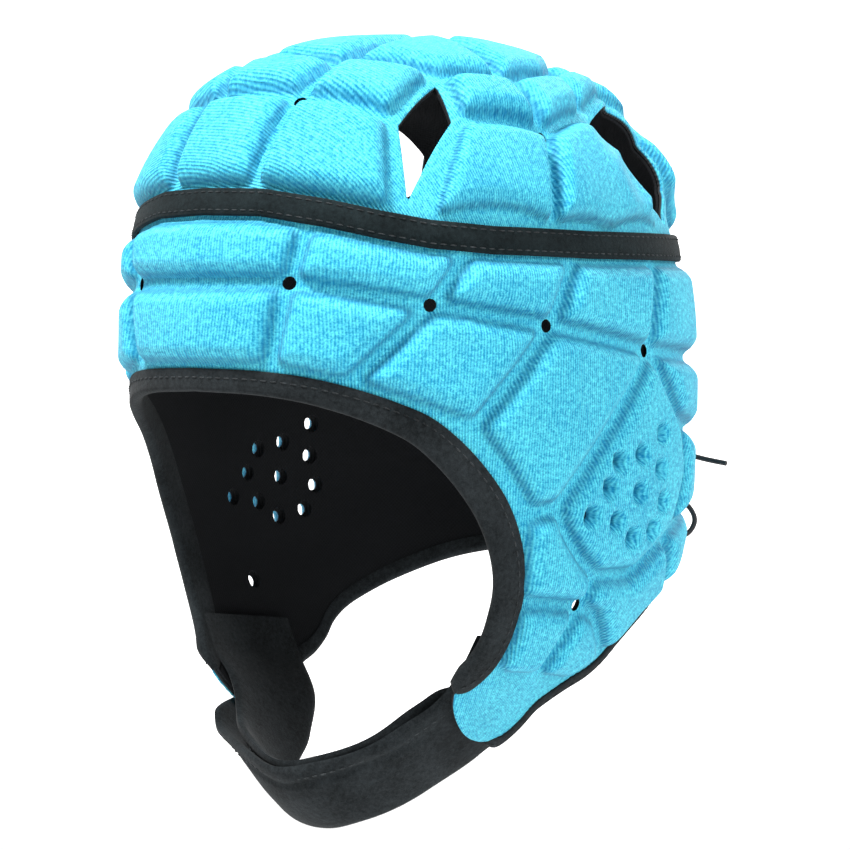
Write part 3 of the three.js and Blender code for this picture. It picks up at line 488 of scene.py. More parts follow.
@dataclass
class Quilting:
    """The relief of a panel's pads over its flat pattern."""

    pattern: Pattern
    pads: Sequence[Pad]
    low: Sequence[float]
    high: Sequence[float]
    cell: float = 0.8
    seed: int = 7
    slope_power: float = 2.1
    fullness: float = 0.05
    unevenness: float = 0.12
    uneven_reach: float = 9.0
    softness: float = 0.32
    # Painted shade: how far inside each pad's foot the dark crease band peaks, its reach, and how
    # dark the dimples go
    fold_shade: float = 0.5
    fold_shade_reach: float = 0.8
    dimple_shade: float = 0.8
    dimple_floor: float = 0.06

    def band_gap(self, flat: np.ndarray) -> np.ndarray:
        """Measure how far points lie from the head band."""
        around, s = self.pattern.spot(flat)
        gap = seam_length(around) - s if self.pattern is Pattern.CROWN else s - seam_length(around)
        return gap - BAND_WIDTH / 2

    def depth(self, pad: Pad, area: Raster) -> np.ndarray:
        """Measure how far inside a pad's rounded outline the cells of an area lie.

        The outline is rounded by a blur, and a logistic curve turns the blur back into lengths.
        """
        logistic = 1.702
        spots = area.spots()
        inside = np.minimum(side_distance(spots, pad.ring), self.band_gap(spots))
        inside = inside - CHANNEL_WIDTH / 2
        share = np.clip(inside / area.cell + 0.5, 0, 1).reshape(area.shape)
        soft = np.clip(blurred(share, PAD_CORNER / area.cell), 1e-3, 1 - 1e-3)
        return PAD_CORNER * np.log(soft / (1 - soft)) / logistic

    def raised(self) -> tuple[Raster, Raster]:
        """Raise every pad.

        Returns:
            Heights over the channel floor, and the share of painted shade, 1 in the creases at the
            pads' feet.
        """
        draw = np.random.default_rng(self.seed)
        whole = Raster(self.low, self.high, self.cell)
        crease_shades = Raster(self.low, self.high, self.cell)
        waves = blurred(draw.standard_normal(whole.shape), self.uneven_reach / self.cell)
        waves /= np.abs(waves).max()
        rise = PAD_RISE if self.pattern is Pattern.CROWN else SIDE_RISE
        for pad in self.pads:
            low, high = pad.window()
            first = np.maximum(np.floor((low - whole.low) / self.cell), 0).astype(int)
            last = np.ceil((high - whole.low) / self.cell)
            last = np.minimum(last, np.array(whole.shape[::-1]) - 1).astype(int)
            area = whole.part(first, last)
            block = (slice(first[1], last[1] + 1), slice(first[0], last[0] + 1))
            deep = self.depth(pad, area)
            share = np.clip(deep / PAD_SHOULDER, 0, 1)
            full = 1 + self.fullness * draw.standard_normal()
            height = rise * full * np.sqrt(1 - (1 - share) ** self.slope_power)
            height = height + PAD_CROWN * eased((deep - PAD_SHOULDER / 2) / (2 * PAD_SHOULDER))
            height = height * (1 + self.unevenness * waves[block])
            left = self.dimpled(pad, area)
            height = height * left
            whole.values[block] = np.maximum(whole.values[block], height)
            # Painted shade in the crease at the pad's foot and in its dimples
            fold_shade = np.exp(-((deep - self.fold_shade) / self.fold_shade_reach) ** 2)
            fold_shade = fold_shade + self.dimple_shade * (1 - left) ** 2
            crease_shades.values[block] = np.maximum(crease_shades.values[block], np.minimum(fold_shade, 1))
        whole.values = blurred(whole.values, self.softness / self.cell)
        return whole, crease_shades

    def dimpled(self, pad: Pad, area: Raster) -> np.ndarray:
        """Give the share of a pad's height that its dimples leave."""
        left = np.ones(area.shape)
        for spot in pad.dimples:
            gap = np.linalg.norm(area.spots() - np.asarray(spot), axis=1).reshape(area.shape)
            share = (gap - EAR_HOLE / 2) / (EAR_DIMPLE / 2 - EAR_HOLE / 2)
            left *= self.dimple_floor + (1 - self.dimple_floor) * eased(share)
        return left


@dataclass
class Sheet:
    """A flat triangle mesh."""

    flat: np.ndarray
    faces: np.ndarray

    def rims(self) -> np.ndarray:
        """Give the open edges, in the turn of the faces that they bound."""
        edges = np.vstack([self.faces[:, [0, 1]], self.faces[:, [1, 2]], self.faces[:, [2, 0]]])
        size = len(self.flat)
        one, other = edges[:, 0] * size + edges[:, 1], edges[:, 1] * size + edges[:, 0]
        return edges[~np.isin(one, other)]


def cut_sheet(inside: Callable[[np.ndarray], np.ndarray], low: Sequence[float],
              high: Sequence[float], step: float) -> Sheet:
    """Cut a sheet of even triangles to an outline.

    Args:
        inside: how far inside the outline flat points lie.
        low: the lowest corner of the cloth.
        high: its highest corner.
        step: the triangles' side.

    Returns:
        The sheet, with its rim on the outline.
    """
    snap = 0.35
    columns = int((high[0] - low[0]) / step) + 2
    rows = int((high[1] - low[1]) / step) + 2
    index = np.arange(rows * columns).reshape(rows, columns)
    flat = np.stack([index % columns, index // columns], -1).reshape(-1, 2) * step
    flat = flat + np.asarray(low, float)
    depth = inside(flat)
    near = np.abs(depth) < snap * step
    close = flat[near]
    nudge = step / 50
    slope = np.stack([inside(close + (nudge, 0)) - inside(close - (nudge, 0)),
                      inside(close + (0, nudge)) - inside(close - (0, nudge))], 1)
    slope /= np.maximum(np.linalg.norm(slope, axis=1, keepdims=True), TINY)
    flat[near] = close - slope * depth[near][:, None]
    depth[near] = 0
    a, b, c, d = index[:-1, :-1], index[:-1, 1:], index[1:, 1:], index[1:, :-1]
    odd = (np.add.outer(np.arange(rows - 1), np.arange(columns - 1)) % 2 == 1)[..., None]
    first = np.where(odd, np.stack([a, b, d], -1), np.stack([a, b, c], -1)).reshape(-1, 3)
    second = np.where(odd, np.stack([b, c, d], -1), np.stack([a, c, d], -1)).reshape(-1, 3)
    faces = np.vstack([first, second])
    sign = np.sign(depth)[faces]
    whole = (sign >= 0).all(1) & ((sign > 0).any(1) | (inside(flat[faces].mean(1)) > 0))
    crossed = faces[(sign > 0).any(1) & (sign < 0).any(1)]
    points, made, extra = list(flat), {}, []

    def crossing(p: int, q: int) -> int:
        """Give the new point where an edge meets the outline."""
        key = (min(p, q), max(p, q))
        if key not in made:
            share = depth[p] / (depth[p] - depth[q])
            made[key] = len(points)
            points.append(flat[p] + (flat[q] - flat[p]) * share)
        return made[key]

    for face in crossed:
        ring = []
        for p, q in zip(face, np.roll(face, -1)):
            if depth[p] >= 0:
                ring.append(int(p))
            if depth[p] * depth[q] < 0:
                ring.append(crossing(int(p), int(q)))
        extra += [(ring[0], ring[k], ring[k + 1]) for k in range(1, len(ring) - 1)]
    kept = np.vstack([faces[whole], np.array(extra, int).reshape(-1, 3)])
    used, kept = np.unique(kept, return_inverse=True)
    return Sheet(np.array(points)[used], kept.reshape(-1, 3))


def make_mesh(name: str, points: np.ndarray, faces: np.ndarray | list[list[int]],
              uv: np.ndarray | None = None, sharp: float = 50.0) -> bpy.types.Object:
    """Make an object from points in millimetres.

    Args:
        name: the piece's name.
        points: its points.
        faces: its faces' point numbers.
        uv: a pattern place in millimetres for each point.
        sharp: the angle in degrees past which an edge stays sharp.

    Returns:
        The object, with smooth faces.
    """
    mesh = bpy.data.meshes.new(name)
    listed = faces.tolist() if isinstance(faces, np.ndarray) else faces
    mesh.from_pydata((np.asarray(points) * MM).tolist(), [], listed)
    mesh.validate()
    mesh.shade_smooth()
    mesh.set_sharp_from_angle(angle=math.radians(sharp))
    if uv is not None:
        layer = mesh.uv_layers.new(name="pattern")
        corner = np.empty(len(mesh.loops), np.int64)
        mesh.loops.foreach_get("vertex_index", corner)
        layer.data.foreach_set("uv", (np.asarray(uv)[corner] * MM).astype(np.float32).ravel())
    obj = bpy.data.objects.new(name, mesh)
    bpy.context.scene.collection.objects.link(obj)
    return obj


def add_share(obj: bpy.types.Object, name: str, values: np.ndarray) -> None:
    """Store a value for each point of a piece."""
    layer = obj.data.attributes.new(name, "FLOAT", "POINT")
    layer.data.foreach_set("value", np.asarray(values, np.float32))


def dressed(obj: bpy.types.Object, finish: bpy.types.Material, slot: str,
            *nodes: str) -> bpy.types.Object:
    """Give a piece its finish and its place in the frame.

    Args:
        obj: the piece.
        finish: its material.
        slot: not used.
        nodes: the frame's nodes that it stands for.

    Returns:
        The piece.
    """
    obj.data.materials.clear()
    obj.data.materials.append(finish)
    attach(obj, "root")
    if nodes:
        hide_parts(*nodes)
    LOG.info("%s: %d faces", obj.name, len(obj.data.polygons))
    return obj


def walled(sheet: Sheet, upper: np.ndarray, lower: np.ndarray) -> tuple[np.ndarray, np.ndarray]:
    """Close two layers of a sheet into one body.

    Args:
        sheet: the flat sheet.
        upper: places of its points on the outer layer.
        lower: places on the inner layer.

    Returns:
        Points and faces of the closed body.
    """
    size = len(sheet.flat)
    a, b = sheet.rims().T
    walls = np.vstack([np.stack([b, a, a + size], 1), np.stack([b, a + size, b + size], 1)])
    return np.vstack([upper, lower]), np.vstack([sheet.faces, sheet.faces[:, ::-1] + size, walls])


def cloth_area(points: np.ndarray, faces: np.ndarray) -> float:
    """Give the area in square metres of triangles between points in millimetres."""
    a, b, c = (points[faces[:, k]] for k in range(3))
    return float(np.linalg.norm(np.cross(b - a, c - a), axis=1).sum() / 2 * MM**2)


def swept(sections: np.ndarray, closed: bool) -> tuple[np.ndarray, list[list[int]]]:
    """Join rings of points into one closed body.

    Args:
        sections: rings of points, all of one count.
        closed: whether the last ring meets the first.

    Returns:
        Points and faces.
    """
    rows, columns = sections.shape[:2]
    index = np.arange(rows * columns).reshape(rows, columns)
    upper = index if closed else index[:-1]
    lower = np.roll(index, -1, axis=0) if closed else index[1:]
    quads = np.stack([upper, np.roll(upper, -1, 1), np.roll(lower, -1, 1), lower], -1)
    faces = quads.reshape(-1, 4).tolist()
    if not closed:
        faces += [index[0][::-1].tolist(), index[-1].tolist()]
    points = sections.reshape(-1, 3)
    middle = sections.mean(1)
    turn = np.cross(sections[0, 0] - middle[0], sections[0, 1] - middle[0])
    if np.dot(turn, middle[1] - middle[0]) < 0:
        faces = [face[::-1] for face in faces]
    return points, faces


class Num:
    """A shader value that plain arithmetic works on."""

    def __init__(self, graph: Graph, socket: bpy.types.NodeSocket) -> None:
        """Wrap a node's output."""
        self.graph = graph
        self.socket = socket

    def __add__(self, other: Num | float) -> Num:
        """Add."""
        return self.graph.math("ADD", self, other)

    def __sub__(self, other: Num | float) -> Num:
        """Take away."""
        return self.graph.math("SUBTRACT", self, other)

    def __rsub__(self, other: float) -> Num:
        """Take away from a number."""
        return self.graph.math("SUBTRACT", other, self)

    def __mul__(self, other: Num | float) -> Num:
        """Multiply."""
        return self.graph.math("MULTIPLY", self, other)

    __radd__ = __add__
    __rmul__ = __mul__

    def wave(self) -> Num:
        """Give the sine."""
        return self.graph.math("SINE", self, 0.0)

    def clipped(self) -> Num:
        """Keep between 0 and 1."""
        return self.graph.math("MINIMUM", self.graph.math("MAXIMUM", self, 0.0), 1.0)


class Graph:
    """A material's nodes."""

    def __init__(self, name: str) -> None:
        """Start an empty material."""
        self.material = bpy.data.materials.new(name)
        self.material.use_nodes = True
        self.tree = self.material.node_tree
        self.tree.nodes.clear()

    def node(self, kind: str, settings: dict | None = None,
             sockets: dict | None = None) -> bpy.types.Node:
        """Add a node.

        Args:
            kind: the node's type.
            settings: its own settings.
            sockets: values or links of its inputs, by name or number.

        Returns:
            The node.
        """
        made = self.tree.nodes.new(kind)
        for key, value in (settings or {}).items():
            setattr(made, key, value)
        for key, value in (sockets or {}).items():
            socket = made.inputs[key]
            if isinstance(value, Num):
                self.tree.links.new(value.socket, socket)
            else:
                socket.default_value = value
        return made

    def out(self, kind: str, settings: dict | None = None, sockets: dict | None = None,
            output: int | str = 0) -> Num:
        """Add a node and give one of its outputs."""
        return Num(self, self.node(kind, settings, sockets).outputs[output])

    def math(self, operation: str, one: Num | float, two: Num | float) -> Num:
        """Add a Math node."""
        return self.out("ShaderNodeMath", {"operation": operation}, {0: one, 1: two})

    def mixed(self, share: Num | float, one: Colour, two: Colour) -> Num:
        """Mix two colours by a share."""
        kept = [value if isinstance(value, Num) else (*value, 1) for value in (one, two)]
        return self.out("ShaderNodeMix", {"data_type": "RGBA", "clamp_factor": True},
                        {0: share, 6: kept[0], 7: kept[1]}, 2)

    def noise(self, place: Num, scale: float, detail: float = 2.0) -> Num:
        """Give fine noise around 0.5 at a place."""
        return self.out("ShaderNodeTexNoise", None,
                        {"Vector": place, "Scale": scale, "Detail": detail, "Roughness": 0.6}, 0)

    def bump(self, height: Num, distance: float, strength: float) -> Num:
        """Turn a height into a normal."""
        sockets = {"Height": height, "Distance": distance, "Strength": strength}
        return self.out("ShaderNodeBump", None, sockets)

    def pattern(self) -> tuple[Num, Num, Num]:
        """Give the place on the flat pattern, and how far across and along it lies."""
        place = self.out("ShaderNodeUVMap", {"uv_map": "pattern"})
        split = self.node("ShaderNodeSeparateXYZ", None, {0: place})
        return place, Num(self, split.outputs[0]), Num(self, split.outputs[1])

    def share(self, name: str) -> Num:
        """Give a value that the mesh holds for each point."""
        return self.out("ShaderNodeAttribute", {"attribute_name": name}, None, 2)

    def finish(self, sockets: dict) -> bpy.types.Material:
        """Close the material with its surface."""
        surface = self.out("ShaderNodeBsdfPrincipled", None, sockets)
        self.node("ShaderNodeOutputMaterial", None, {"Surface": surface})
        return self.material


Colour = tuple[float, float, float] | Num


@dataclass(frozen=True)
class PaddedCloth:
    """Ribbed stretch knit, laminated over foam."""

    name: str
    across: bool
    lean: float
    bright: tuple[float, float, float] = (0.13, 0.85, 0.99)
    deep: tuple[float, float, float] = (0.0, 0.3, 0.56)
    # Painted shade colour, mixed in at the pads' feet and in the ear dimples
    fold_shade: tuple[float, float, float] = (0.0, 0.14, 0.3)
    back: tuple[float, float, float] = (0.006, 0.008, 0.01)
    fold_shade_share: float = 0.8
    rib: float = 1.04 * MM
    rib_height: float = 0.3 * MM
    drift: float = 6 * MM
    drift_scale: float = 18.0
    fleck_scale: float = 1700.0
    heather_scale: float = 600.0
    cloud_scale: float = 45.0
    rib_light: float = 0.44
    speckle: float = 2.1
    clouding: float = 0.5
    darkening: float = 2.1
    # Painted light: the pads darken with their height, so the channels come out lighter
    raised_shade: float = 0.06

    def build(self) -> bpy.types.Material:
        """Make the material."""
        g = Graph(self.name)
        place, x, y = g.pattern()
        drift = (g.noise(place, self.drift_scale) - 0.5) * self.drift
        along = (y + x * self.lean + drift) if self.across else (x + y * self.lean + drift)
        wave = (along * (2 * math.pi / self.rib)).wave() * 0.5 + 0.5
        fleck = g.noise(place, self.fleck_scale, 4.0)
        heather = g.noise(place, self.heather_scale, 4.0)
        cloud = g.noise(place, self.cloud_scale)
        light = wave * self.rib_light + fleck * self.speckle + heather * self.speckle
        light = light + cloud * self.clouding - self.darkening
        # Painted light: raised pads darker by their relief, channels lighter
        light = (light - g.share("relief") * self.raised_shade).clipped()
        normal = g.bump(wave * 0.8 + fleck * 0.5 + heather * 0.35, self.rib_height, 0.9)
        knit = g.mixed(light, self.deep, self.bright)
        # Painted shade in the creases at the pads' feet and in the dimples
        cloth = g.mixed(g.share("crease") * self.fold_shade_share, knit, self.fold_shade)
        return g.finish({
            "Base Color": g.mixed((g.share("inner") * 2).clipped(), cloth, self.back),
            "Roughness": 0.62, "Normal": normal, "Sheen Weight": 0.08, "Sheen Roughness": 0.5,
            "Specular IOR Level": 0.3,
        })


@dataclass(frozen=True)
class Velour:
    """Brushed loop cloth of the bindings, band and straps."""

    name: str
    dark: tuple[float, float, float] = (0.004, 0.006, 0.007)
    pale: tuple[float, float, float] = (0.03, 0.037, 0.041)
    pile: float = 0.2 * MM

    def build(self) -> bpy.types.Material:
        """Make the material."""
        g = Graph(self.name)
        place = g.out("ShaderNodeTexCoord", None, None, "Object")
        nap, tuft, cloud = (g.noise(place, scale, 3.0) for scale in (2600.0, 700.0, 70.0))
        light = (nap * 1.1 + tuft * 1.2 + cloud * 1.1 - 1.3).clipped()
        normal = g.bump(nap * 0.6 + tuft, self.pile, 0.8)
        return g.finish({
            "Base Color": g.mixed(light, self.dark, self.pale), "Roughness": 0.92,
            "Normal": normal, "Sheen Weight": 0.06, "Sheen Roughness": 0.5,
            "Specular IOR Level": 0.15,
        })


@dataclass(frozen=True)
class LiningKnit:
    """Dark knit inside the cap."""

    name: str
    dark: tuple[float, float, float] = (0.004, 0.005, 0.006)
    pale: tuple[float, float, float] = (0.014, 0.016, 0.019)
    loop: float = 1.4 * MM

    def build(self) -> bpy.types.Material:
        """Make the material."""
        g = Graph(self.name)
        place, x, y = g.pattern()
        turn = 2 * math.pi / self.loop
        mesh = (x * turn).wave() * (y * turn).wave() * 0.5 + 0.5
        nap = g.noise(place, 1800.0)
        light = (mesh * 0.5 + nap * 0.9 - 0.3).clipped()
        return g.finish({
            "Base Color": g.mixed(light, self.dark, self.pale), "Roughness": 0.9,
            "Normal": g.bump(mesh + nap * 0.5, 0.12 * MM, 0.7), "Specular IOR Level": 0.25,
        })


@dataclass(frozen=True)
class LaceBraid:
    """Round braid of the lace."""

    name: str
    dark: tuple[float, float, float] = (0.003, 0.003, 0.004)
    pale: tuple[float, float, float] = (0.03, 0.032, 0.036)
    strand: float = 1.1 * MM

    def build(self) -> bpy.types.Material:
        """Make the material."""
        g = Graph(self.name)
        _, x, y = g.pattern()
        turn = 2 * math.pi / self.strand
        braid = ((x + y) * turn).wave() * ((x - y) * turn).wave() * 0.5 + 0.5
        fibre = g.noise(g.out("ShaderNodeTexCoord", None, None, "Object"), 2200.0)
        light = (braid * 0.7 + fibre * 0.6 - 0.3).clipped()
        return g.finish({
            "Base Color": g.mixed(light, self.dark, self.pale), "Roughness": 0.55,
            "Normal": g.bump(braid + fibre * 0.3, 0.2 * MM, 0.8),
        })


@dataclass
class Studio:
    """Camera at the photograph's angle, pale floor and soft lights."""

    azimuth: float = 43.0
    elevation: float = 1.8
    distance: float = 1.2
    lens: float = 3600 / 850 * 36
    target: Vector = Vector((0.0044, 0.0041, -0.118))
    floor_drop: float = 0.3
    floor_reach: float = 40.0
    wall_behind: float = 2.6
    wall_half: float = 1.6
    floor_glow: float = 0.12
    wall_glow: float = 1.0
    world_light: float = 0.42
    # Name, towards the camera, to its left, up, size and power
    lamps: tuple[tuple[str, float, float, float, float, float], ...] = (
        ("key", 0.4, 0.5, 1.1, 0.3, 24.0),
        ("fill", 0.8, -0.9, 0.8, 0.7, 11.5),
        ("rim", -0.7, -0.6, 0.6, 0.5, 3.0),
    )

    def build(self) -> None:
        """Set up the camera, floor and lights."""
        turn, rise = math.radians(self.azimuth), math.radians(self.elevation)
        level = Vector((math.sin(turn), -math.cos(turn), 0))
        away = level * math.cos(rise) + Vector((0, 0, math.sin(rise)))
        data = bpy.data.cameras.new("camera")
        data.lens, data.sensor_width = self.lens, 36
        camera = bpy.data.objects.new("camera", data)
        bpy.context.scene.collection.objects.link(camera)
        camera.location = self.target + away * self.distance
        camera.rotation_euler = (-away).to_track_quat("-Z", "Y").to_euler()
        bpy.context.scene.camera = camera
        self.backdrop(away)
        left = Vector((level.y, -level.x, 0))
        for name, ahead, aside, up, size, power in self.lamps:
            place = self.target + level * ahead + left * aside + Vector((0, 0, up))
            self.lamp(name, place, size, power)
        world = bpy.data.worlds.new("studio")
        world.use_nodes = True
        ground = world.node_tree.nodes["Background"].inputs
        ground["Color"].default_value = (1, 1, 1, 1)
        ground["Strength"].default_value = self.world_light
        bpy.context.scene.world = world
        bpy.context.scene.view_settings.view_transform = "Standard"

    def lamp(self, name: str, place: Vector, size: float, power: float) -> None:
        """Hang a square light that faces the cap."""
        data = bpy.data.lights.new(name, "AREA")
        data.size, data.energy = size, power
        lamp = bpy.data.objects.new(name, data)
        bpy.context.scene.collection.objects.link(lamp)
        lamp.location = place
        lamp.rotation_euler = (self.target - place).to_track_quat("-Z", "Y").to_euler()

    def backdrop(self, away: Vector) -> None:
        """Lay the pale floor and hang a bright wall behind the cap.

        Args:
            away: the way from the cap to the camera.
        """
        low, reach = (CAD_BOX[0][2] - self.floor_drop) / MM, self.floor_reach / MM
        turns = ((-1, -1), (1, -1), (1, 1), (-1, 1))
        floor = make_mesh("floor", np.array([(x * reach, y * reach, low) for x, y in turns]),
                          [[0, 1, 2, 3]])
        half = self.wall_half / MM
        across = np.array([-away.y, away.x, 0.0]) * half
        back = np.array([-away.x, -away.y, 0.0]) * self.wall_behind / MM
        wall = make_mesh("backdrop", np.array([
            back + across * x + (0, 0, low if y < 0 else half) for x, y in turns]), [[0, 1, 2, 3]])
        for piece, glow in ((floor, self.floor_glow), (wall, self.wall_glow)):
            g = Graph(f"pale_{piece.name}")
            piece.data.materials.append(g.finish({
                "Base Color": (0.9, 0.9, 0.9, 1), "Roughness": 0.9,
                "Emission Color": (1, 1, 1, 1), "Emission Strength": glow,
            }))


def round_ring(one: np.ndarray, two: np.ndarray, sides: int) -> np.ndarray:
    """Give the points of a round section, of radius 1, for each pair of directions across a path."""
    turn = np.linspace(0, 2 * math.pi, sides, endpoint=False)
    return np.cos(turn)[None, :, None] * one[:, None] + np.sin(turn)[None, :, None] * two[:, None]


def tube(name: str, path: np.ndarray, diameter: float, sides: int = 12) -> bpy.types.Object:
    """Make a round tube with closed ends.

    Args:
        name: the piece's name.
        path: points along its middle.
        diameter: its thickness.
        sides: faces round it.

    Returns:
        The object, with a pattern of its girth and length.
    """
    along = np.gradient(path, axis=0)
    along /= np.linalg.norm(along, axis=1, keepdims=True)
    side = np.cross(along[0], (0.3, 0.2, 1.0))
    sides_at = []
    for way in along:
        side = side - way * side.dot(way)
        side /= np.linalg.norm(side)
        sides_at.append(side)
    one = np.array(sides_at)
    ring = round_ring(one, np.cross(along, one), sides)
    points, faces = swept(path[:, None] + ring * diameter / 2, False)
    run = np.concatenate([[0.0], np.cumsum(np.linalg.norm(np.diff(path, axis=0), axis=1))])
    girth = np.abs(np.linspace(-1, 1, sides, endpoint=False)) * math.pi * diameter / 2
    uv = np.stack(np.broadcast_arrays(girth[None], run[:, None]), -1).reshape(-1, 2)
    return make_mesh(name, points, faces, uv, 70)


@dataclass
class Lacing:
    """The lace through the back opening, its knot, loops and tails."""

    finish: bpy.types.Material
    step: float = 1.0
    knot_spot: tuple[float, float, float] = (0, 7.6, -128.4)
    knot_size: tuple[float, float, float] = (1.25, 2.1, 2.5)
    knot_steps: int = 72
    knot_sides: int = 10
    knot_length: float = 30.0
    knot_strand: float = 0.84 * LACE
    knot_depth: float = 0.8
    knot_spread: float = 2.4

    def back_at(self, z: np.ndarray) -> np.ndarray:
        """Give how far behind the origin the back of the channel floor lies at heights."""
        s = np.linspace(0, ROWS[0][-1], 4000)
        rows = HEAD.sample(s)
        return np.interp(-z, -(rows[:, 0] + HEAD.top), rows[:, 3])

    def route(self, spots: Sequence[Sequence[float]], side: int = 1) -> np.ndarray:
        """Give the even path of a lace through its chosen points."""
        points = np.array(spots, float) * (side, 1, 1)
        points[:, 1] += self.back_at(points[:, 2])
        return Curve(points).even(self.step)

    def build(self) -> None:
        """Make every piece of the lace."""
        lacing = tube("lacing", self.route(LACING_ROUTE), LACE)
        dressed(lacing, self.finish, "lace_cord", "lace_lacing")
        self.knot()
        for hand, side in (("left", 1), ("right", -1)):
            self.free_end(f"loop_{hand}", f"lace_loop_{hand}", self.route(LOOP_ROUTE, side))
            self.free_end(f"tail_{hand}", f"lace_tail_{hand}", self.route(TAIL_ROUTE, side))

    def free_end(self, name: str, node: str, path: np.ndarray) -> None:
        """Make a loop or tail of the bow."""
        piece = dressed(tube(name, path, LACE), self.finish, "lace_cord", node)

    def knot(self) -> None:
        """Tie the knot as a strand that passes over itself three times."""
        t = np.linspace(0, 2 * math.pi, self.knot_steps + 1)[:-1]
        spots = np.stack([-np.sin(3 * t) * self.knot_depth,
                          (np.cos(t) - 2 * np.cos(2 * t)) / self.knot_spread,
                          (np.sin(t) + 2 * np.sin(2 * t)) / self.knot_spread], 1)
        middle = np.array(self.knot_spot, float)
        middle[1] += float(self.back_at(middle[2:])[0])
        path = spots * self.knot_size + middle
        along = np.roll(path, -1, axis=0) - np.roll(path, 1, axis=0)
        along /= np.linalg.norm(along, axis=1, keepdims=True)
        one = np.cross(along, path - middle)
        one /= np.linalg.norm(one, axis=1, keepdims=True)
        ring = round_ring(one, np.cross(along, one), self.knot_sides)
        points, faces = swept(path[:, None] + ring * self.knot_strand / 2, True)
        girth = np.linspace(0, math.pi * LACE, self.knot_sides, endpoint=False)
        run = np.linspace(0, self.knot_length, len(path))
        uv = np.stack(np.broadcast_arrays(girth[None], run[:, None]), -1).reshape(-1, 2)
        knot = make_mesh("knot", points, faces, uv, 80)
        dressed(knot, self.finish, "lace_cord", "lace_knot")


@dataclass
class Panel:
    """A quilted panel with the lining inside it."""

    name: str
    pattern: Pattern
    finish: bpy.types.Material
    lining: bpy.types.Material
    low: tuple[float, float]
    high: tuple[float, float]
    step: float = 1.15
    lining_step: float = 1.6
    hole_ease: float = 1.2
    rim_reach: float = 1.3
    rim_drop: float = 0.6
    hole_reach: float = 2.4
    hole_wall: float = 0.5

    def inside(self, flat: np.ndarray) -> np.ndarray:
        """Give how far inside the panel's outline and outside its holes points lie."""
        return np.minimum(self.cloth(flat), self.from_holes(flat))

    def lined(self, flat: np.ndarray) -> np.ndarray:
        """Give the same for the lining, whose holes are wider."""
        return np.minimum(self.cloth(flat), self.from_holes(flat) - self.hole_ease)

    def cloth(self, flat: np.ndarray) -> np.ndarray:
        """Give how far inside the panel's outline points lie."""
        raise NotImplementedError

    def holes(self) -> list[tuple[np.ndarray, float]]:
        """Give the middles and size of each kind of hole on the wearer's left."""
        raise NotImplementedError

    def from_holes(self, flat: np.ndarray) -> np.ndarray:
        """Give how far outside the nearest hole points lie."""
        half = both_sides(flat)
        gap = np.full(len(flat), np.inf)
        for middles, size in self.holes():
            for middle in middles:
                gap = np.minimum(gap, np.linalg.norm(half - middle, axis=1) - size / 2)
        return gap

    def sway(self, flat: np.ndarray) -> np.ndarray:
        """Give how far the whole wall stands out from the head form."""
        return np.zeros(len(flat))

    def eased_off(self, flat: np.ndarray) -> np.ndarray:
        """Give the share of the pads' height that is left."""
        return np.ones(len(flat))

    def pads(self) -> list[Pad]:
        """Give the panel's pads."""
        raise NotImplementedError

    def build(self) -> None:
        """Make the panel and its lining."""
        sheet = cut_sheet(self.inside, self.low, self.high, self.step)
        pads, crease_shades = Quilting(self.pattern, self.pads(), self.low, self.high).raised()
        relief, crease = pads.read(sheet.flat), crease_shades.read(sheet.flat)
        rim = 1 - np.clip(self.inside(sheet.flat) / self.rim_reach, 0, 1)
        sway = self.sway(sheet.flat)
        relief = relief * self.eased_off(sheet.flat)
        thin = 1 - eased(self.from_holes(sheet.flat) / self.hole_reach)
        upper = self.pattern.lift(sheet.flat, relief - self.rim_drop * rim**2 + sway)
        wall = PANEL_WALL - (PANEL_WALL - self.hole_wall) * thin
        lower = self.pattern.lift(sheet.flat, sway - wall)
        points, faces = walled(sheet, upper, lower)
        panel = make_mesh(self.name, points, faces, np.vstack([sheet.flat, sheet.flat]))
        add_share(panel, "relief", np.concatenate([relief, relief * 0]) / PAD_RISE)
        add_share(panel, "inner", np.concatenate([relief * 0, relief * 0 + 1]))
        # crease: painted shade at the pads' feet and in the ear dimples
        add_share(panel, "crease", np.concatenate([crease, crease]))
        dressed(panel, self.finish, "padded_cloth", f"{self.name}_panel")
        self.build_lining()

    def build_lining(self) -> None:
        """Make the lining, just inside the panel."""
        sheet = cut_sheet(self.lined, self.low, self.high, self.lining_step)
        face = self.sway(sheet.flat) - PANEL_WALL - CLEARANCE
        layers = [self.pattern.lift(sheet.flat, face - deep) for deep in (0, LINING_WALL)]
        points, faces = walled(sheet, *layers)
        lining = make_mesh(f"{self.name}_inside", points, faces, np.vstack([sheet.flat, sheet.flat]))
        dressed(lining, self.lining, "lining_mesh", f"{self.name}_lining")
        cloth_area(layers[0], sheet.faces)


def named_ring(names: str, corners: dict[str, tuple[float, float]], flat: Callable,
               both: bool = False) -> np.ndarray:
    """Give a pad's ring from its corners' names, across the middle where both sides share it."""
    half = flat([corners[name] for name in names.split()])
    return np.vstack([half, mirrored(half)]) if both else half


def both_sides(flat: np.ndarray) -> np.ndarray:
    """Fold pattern points on to the wearer's left."""
    return np.abs(flat) * (1, 0) + flat * (0, 1)


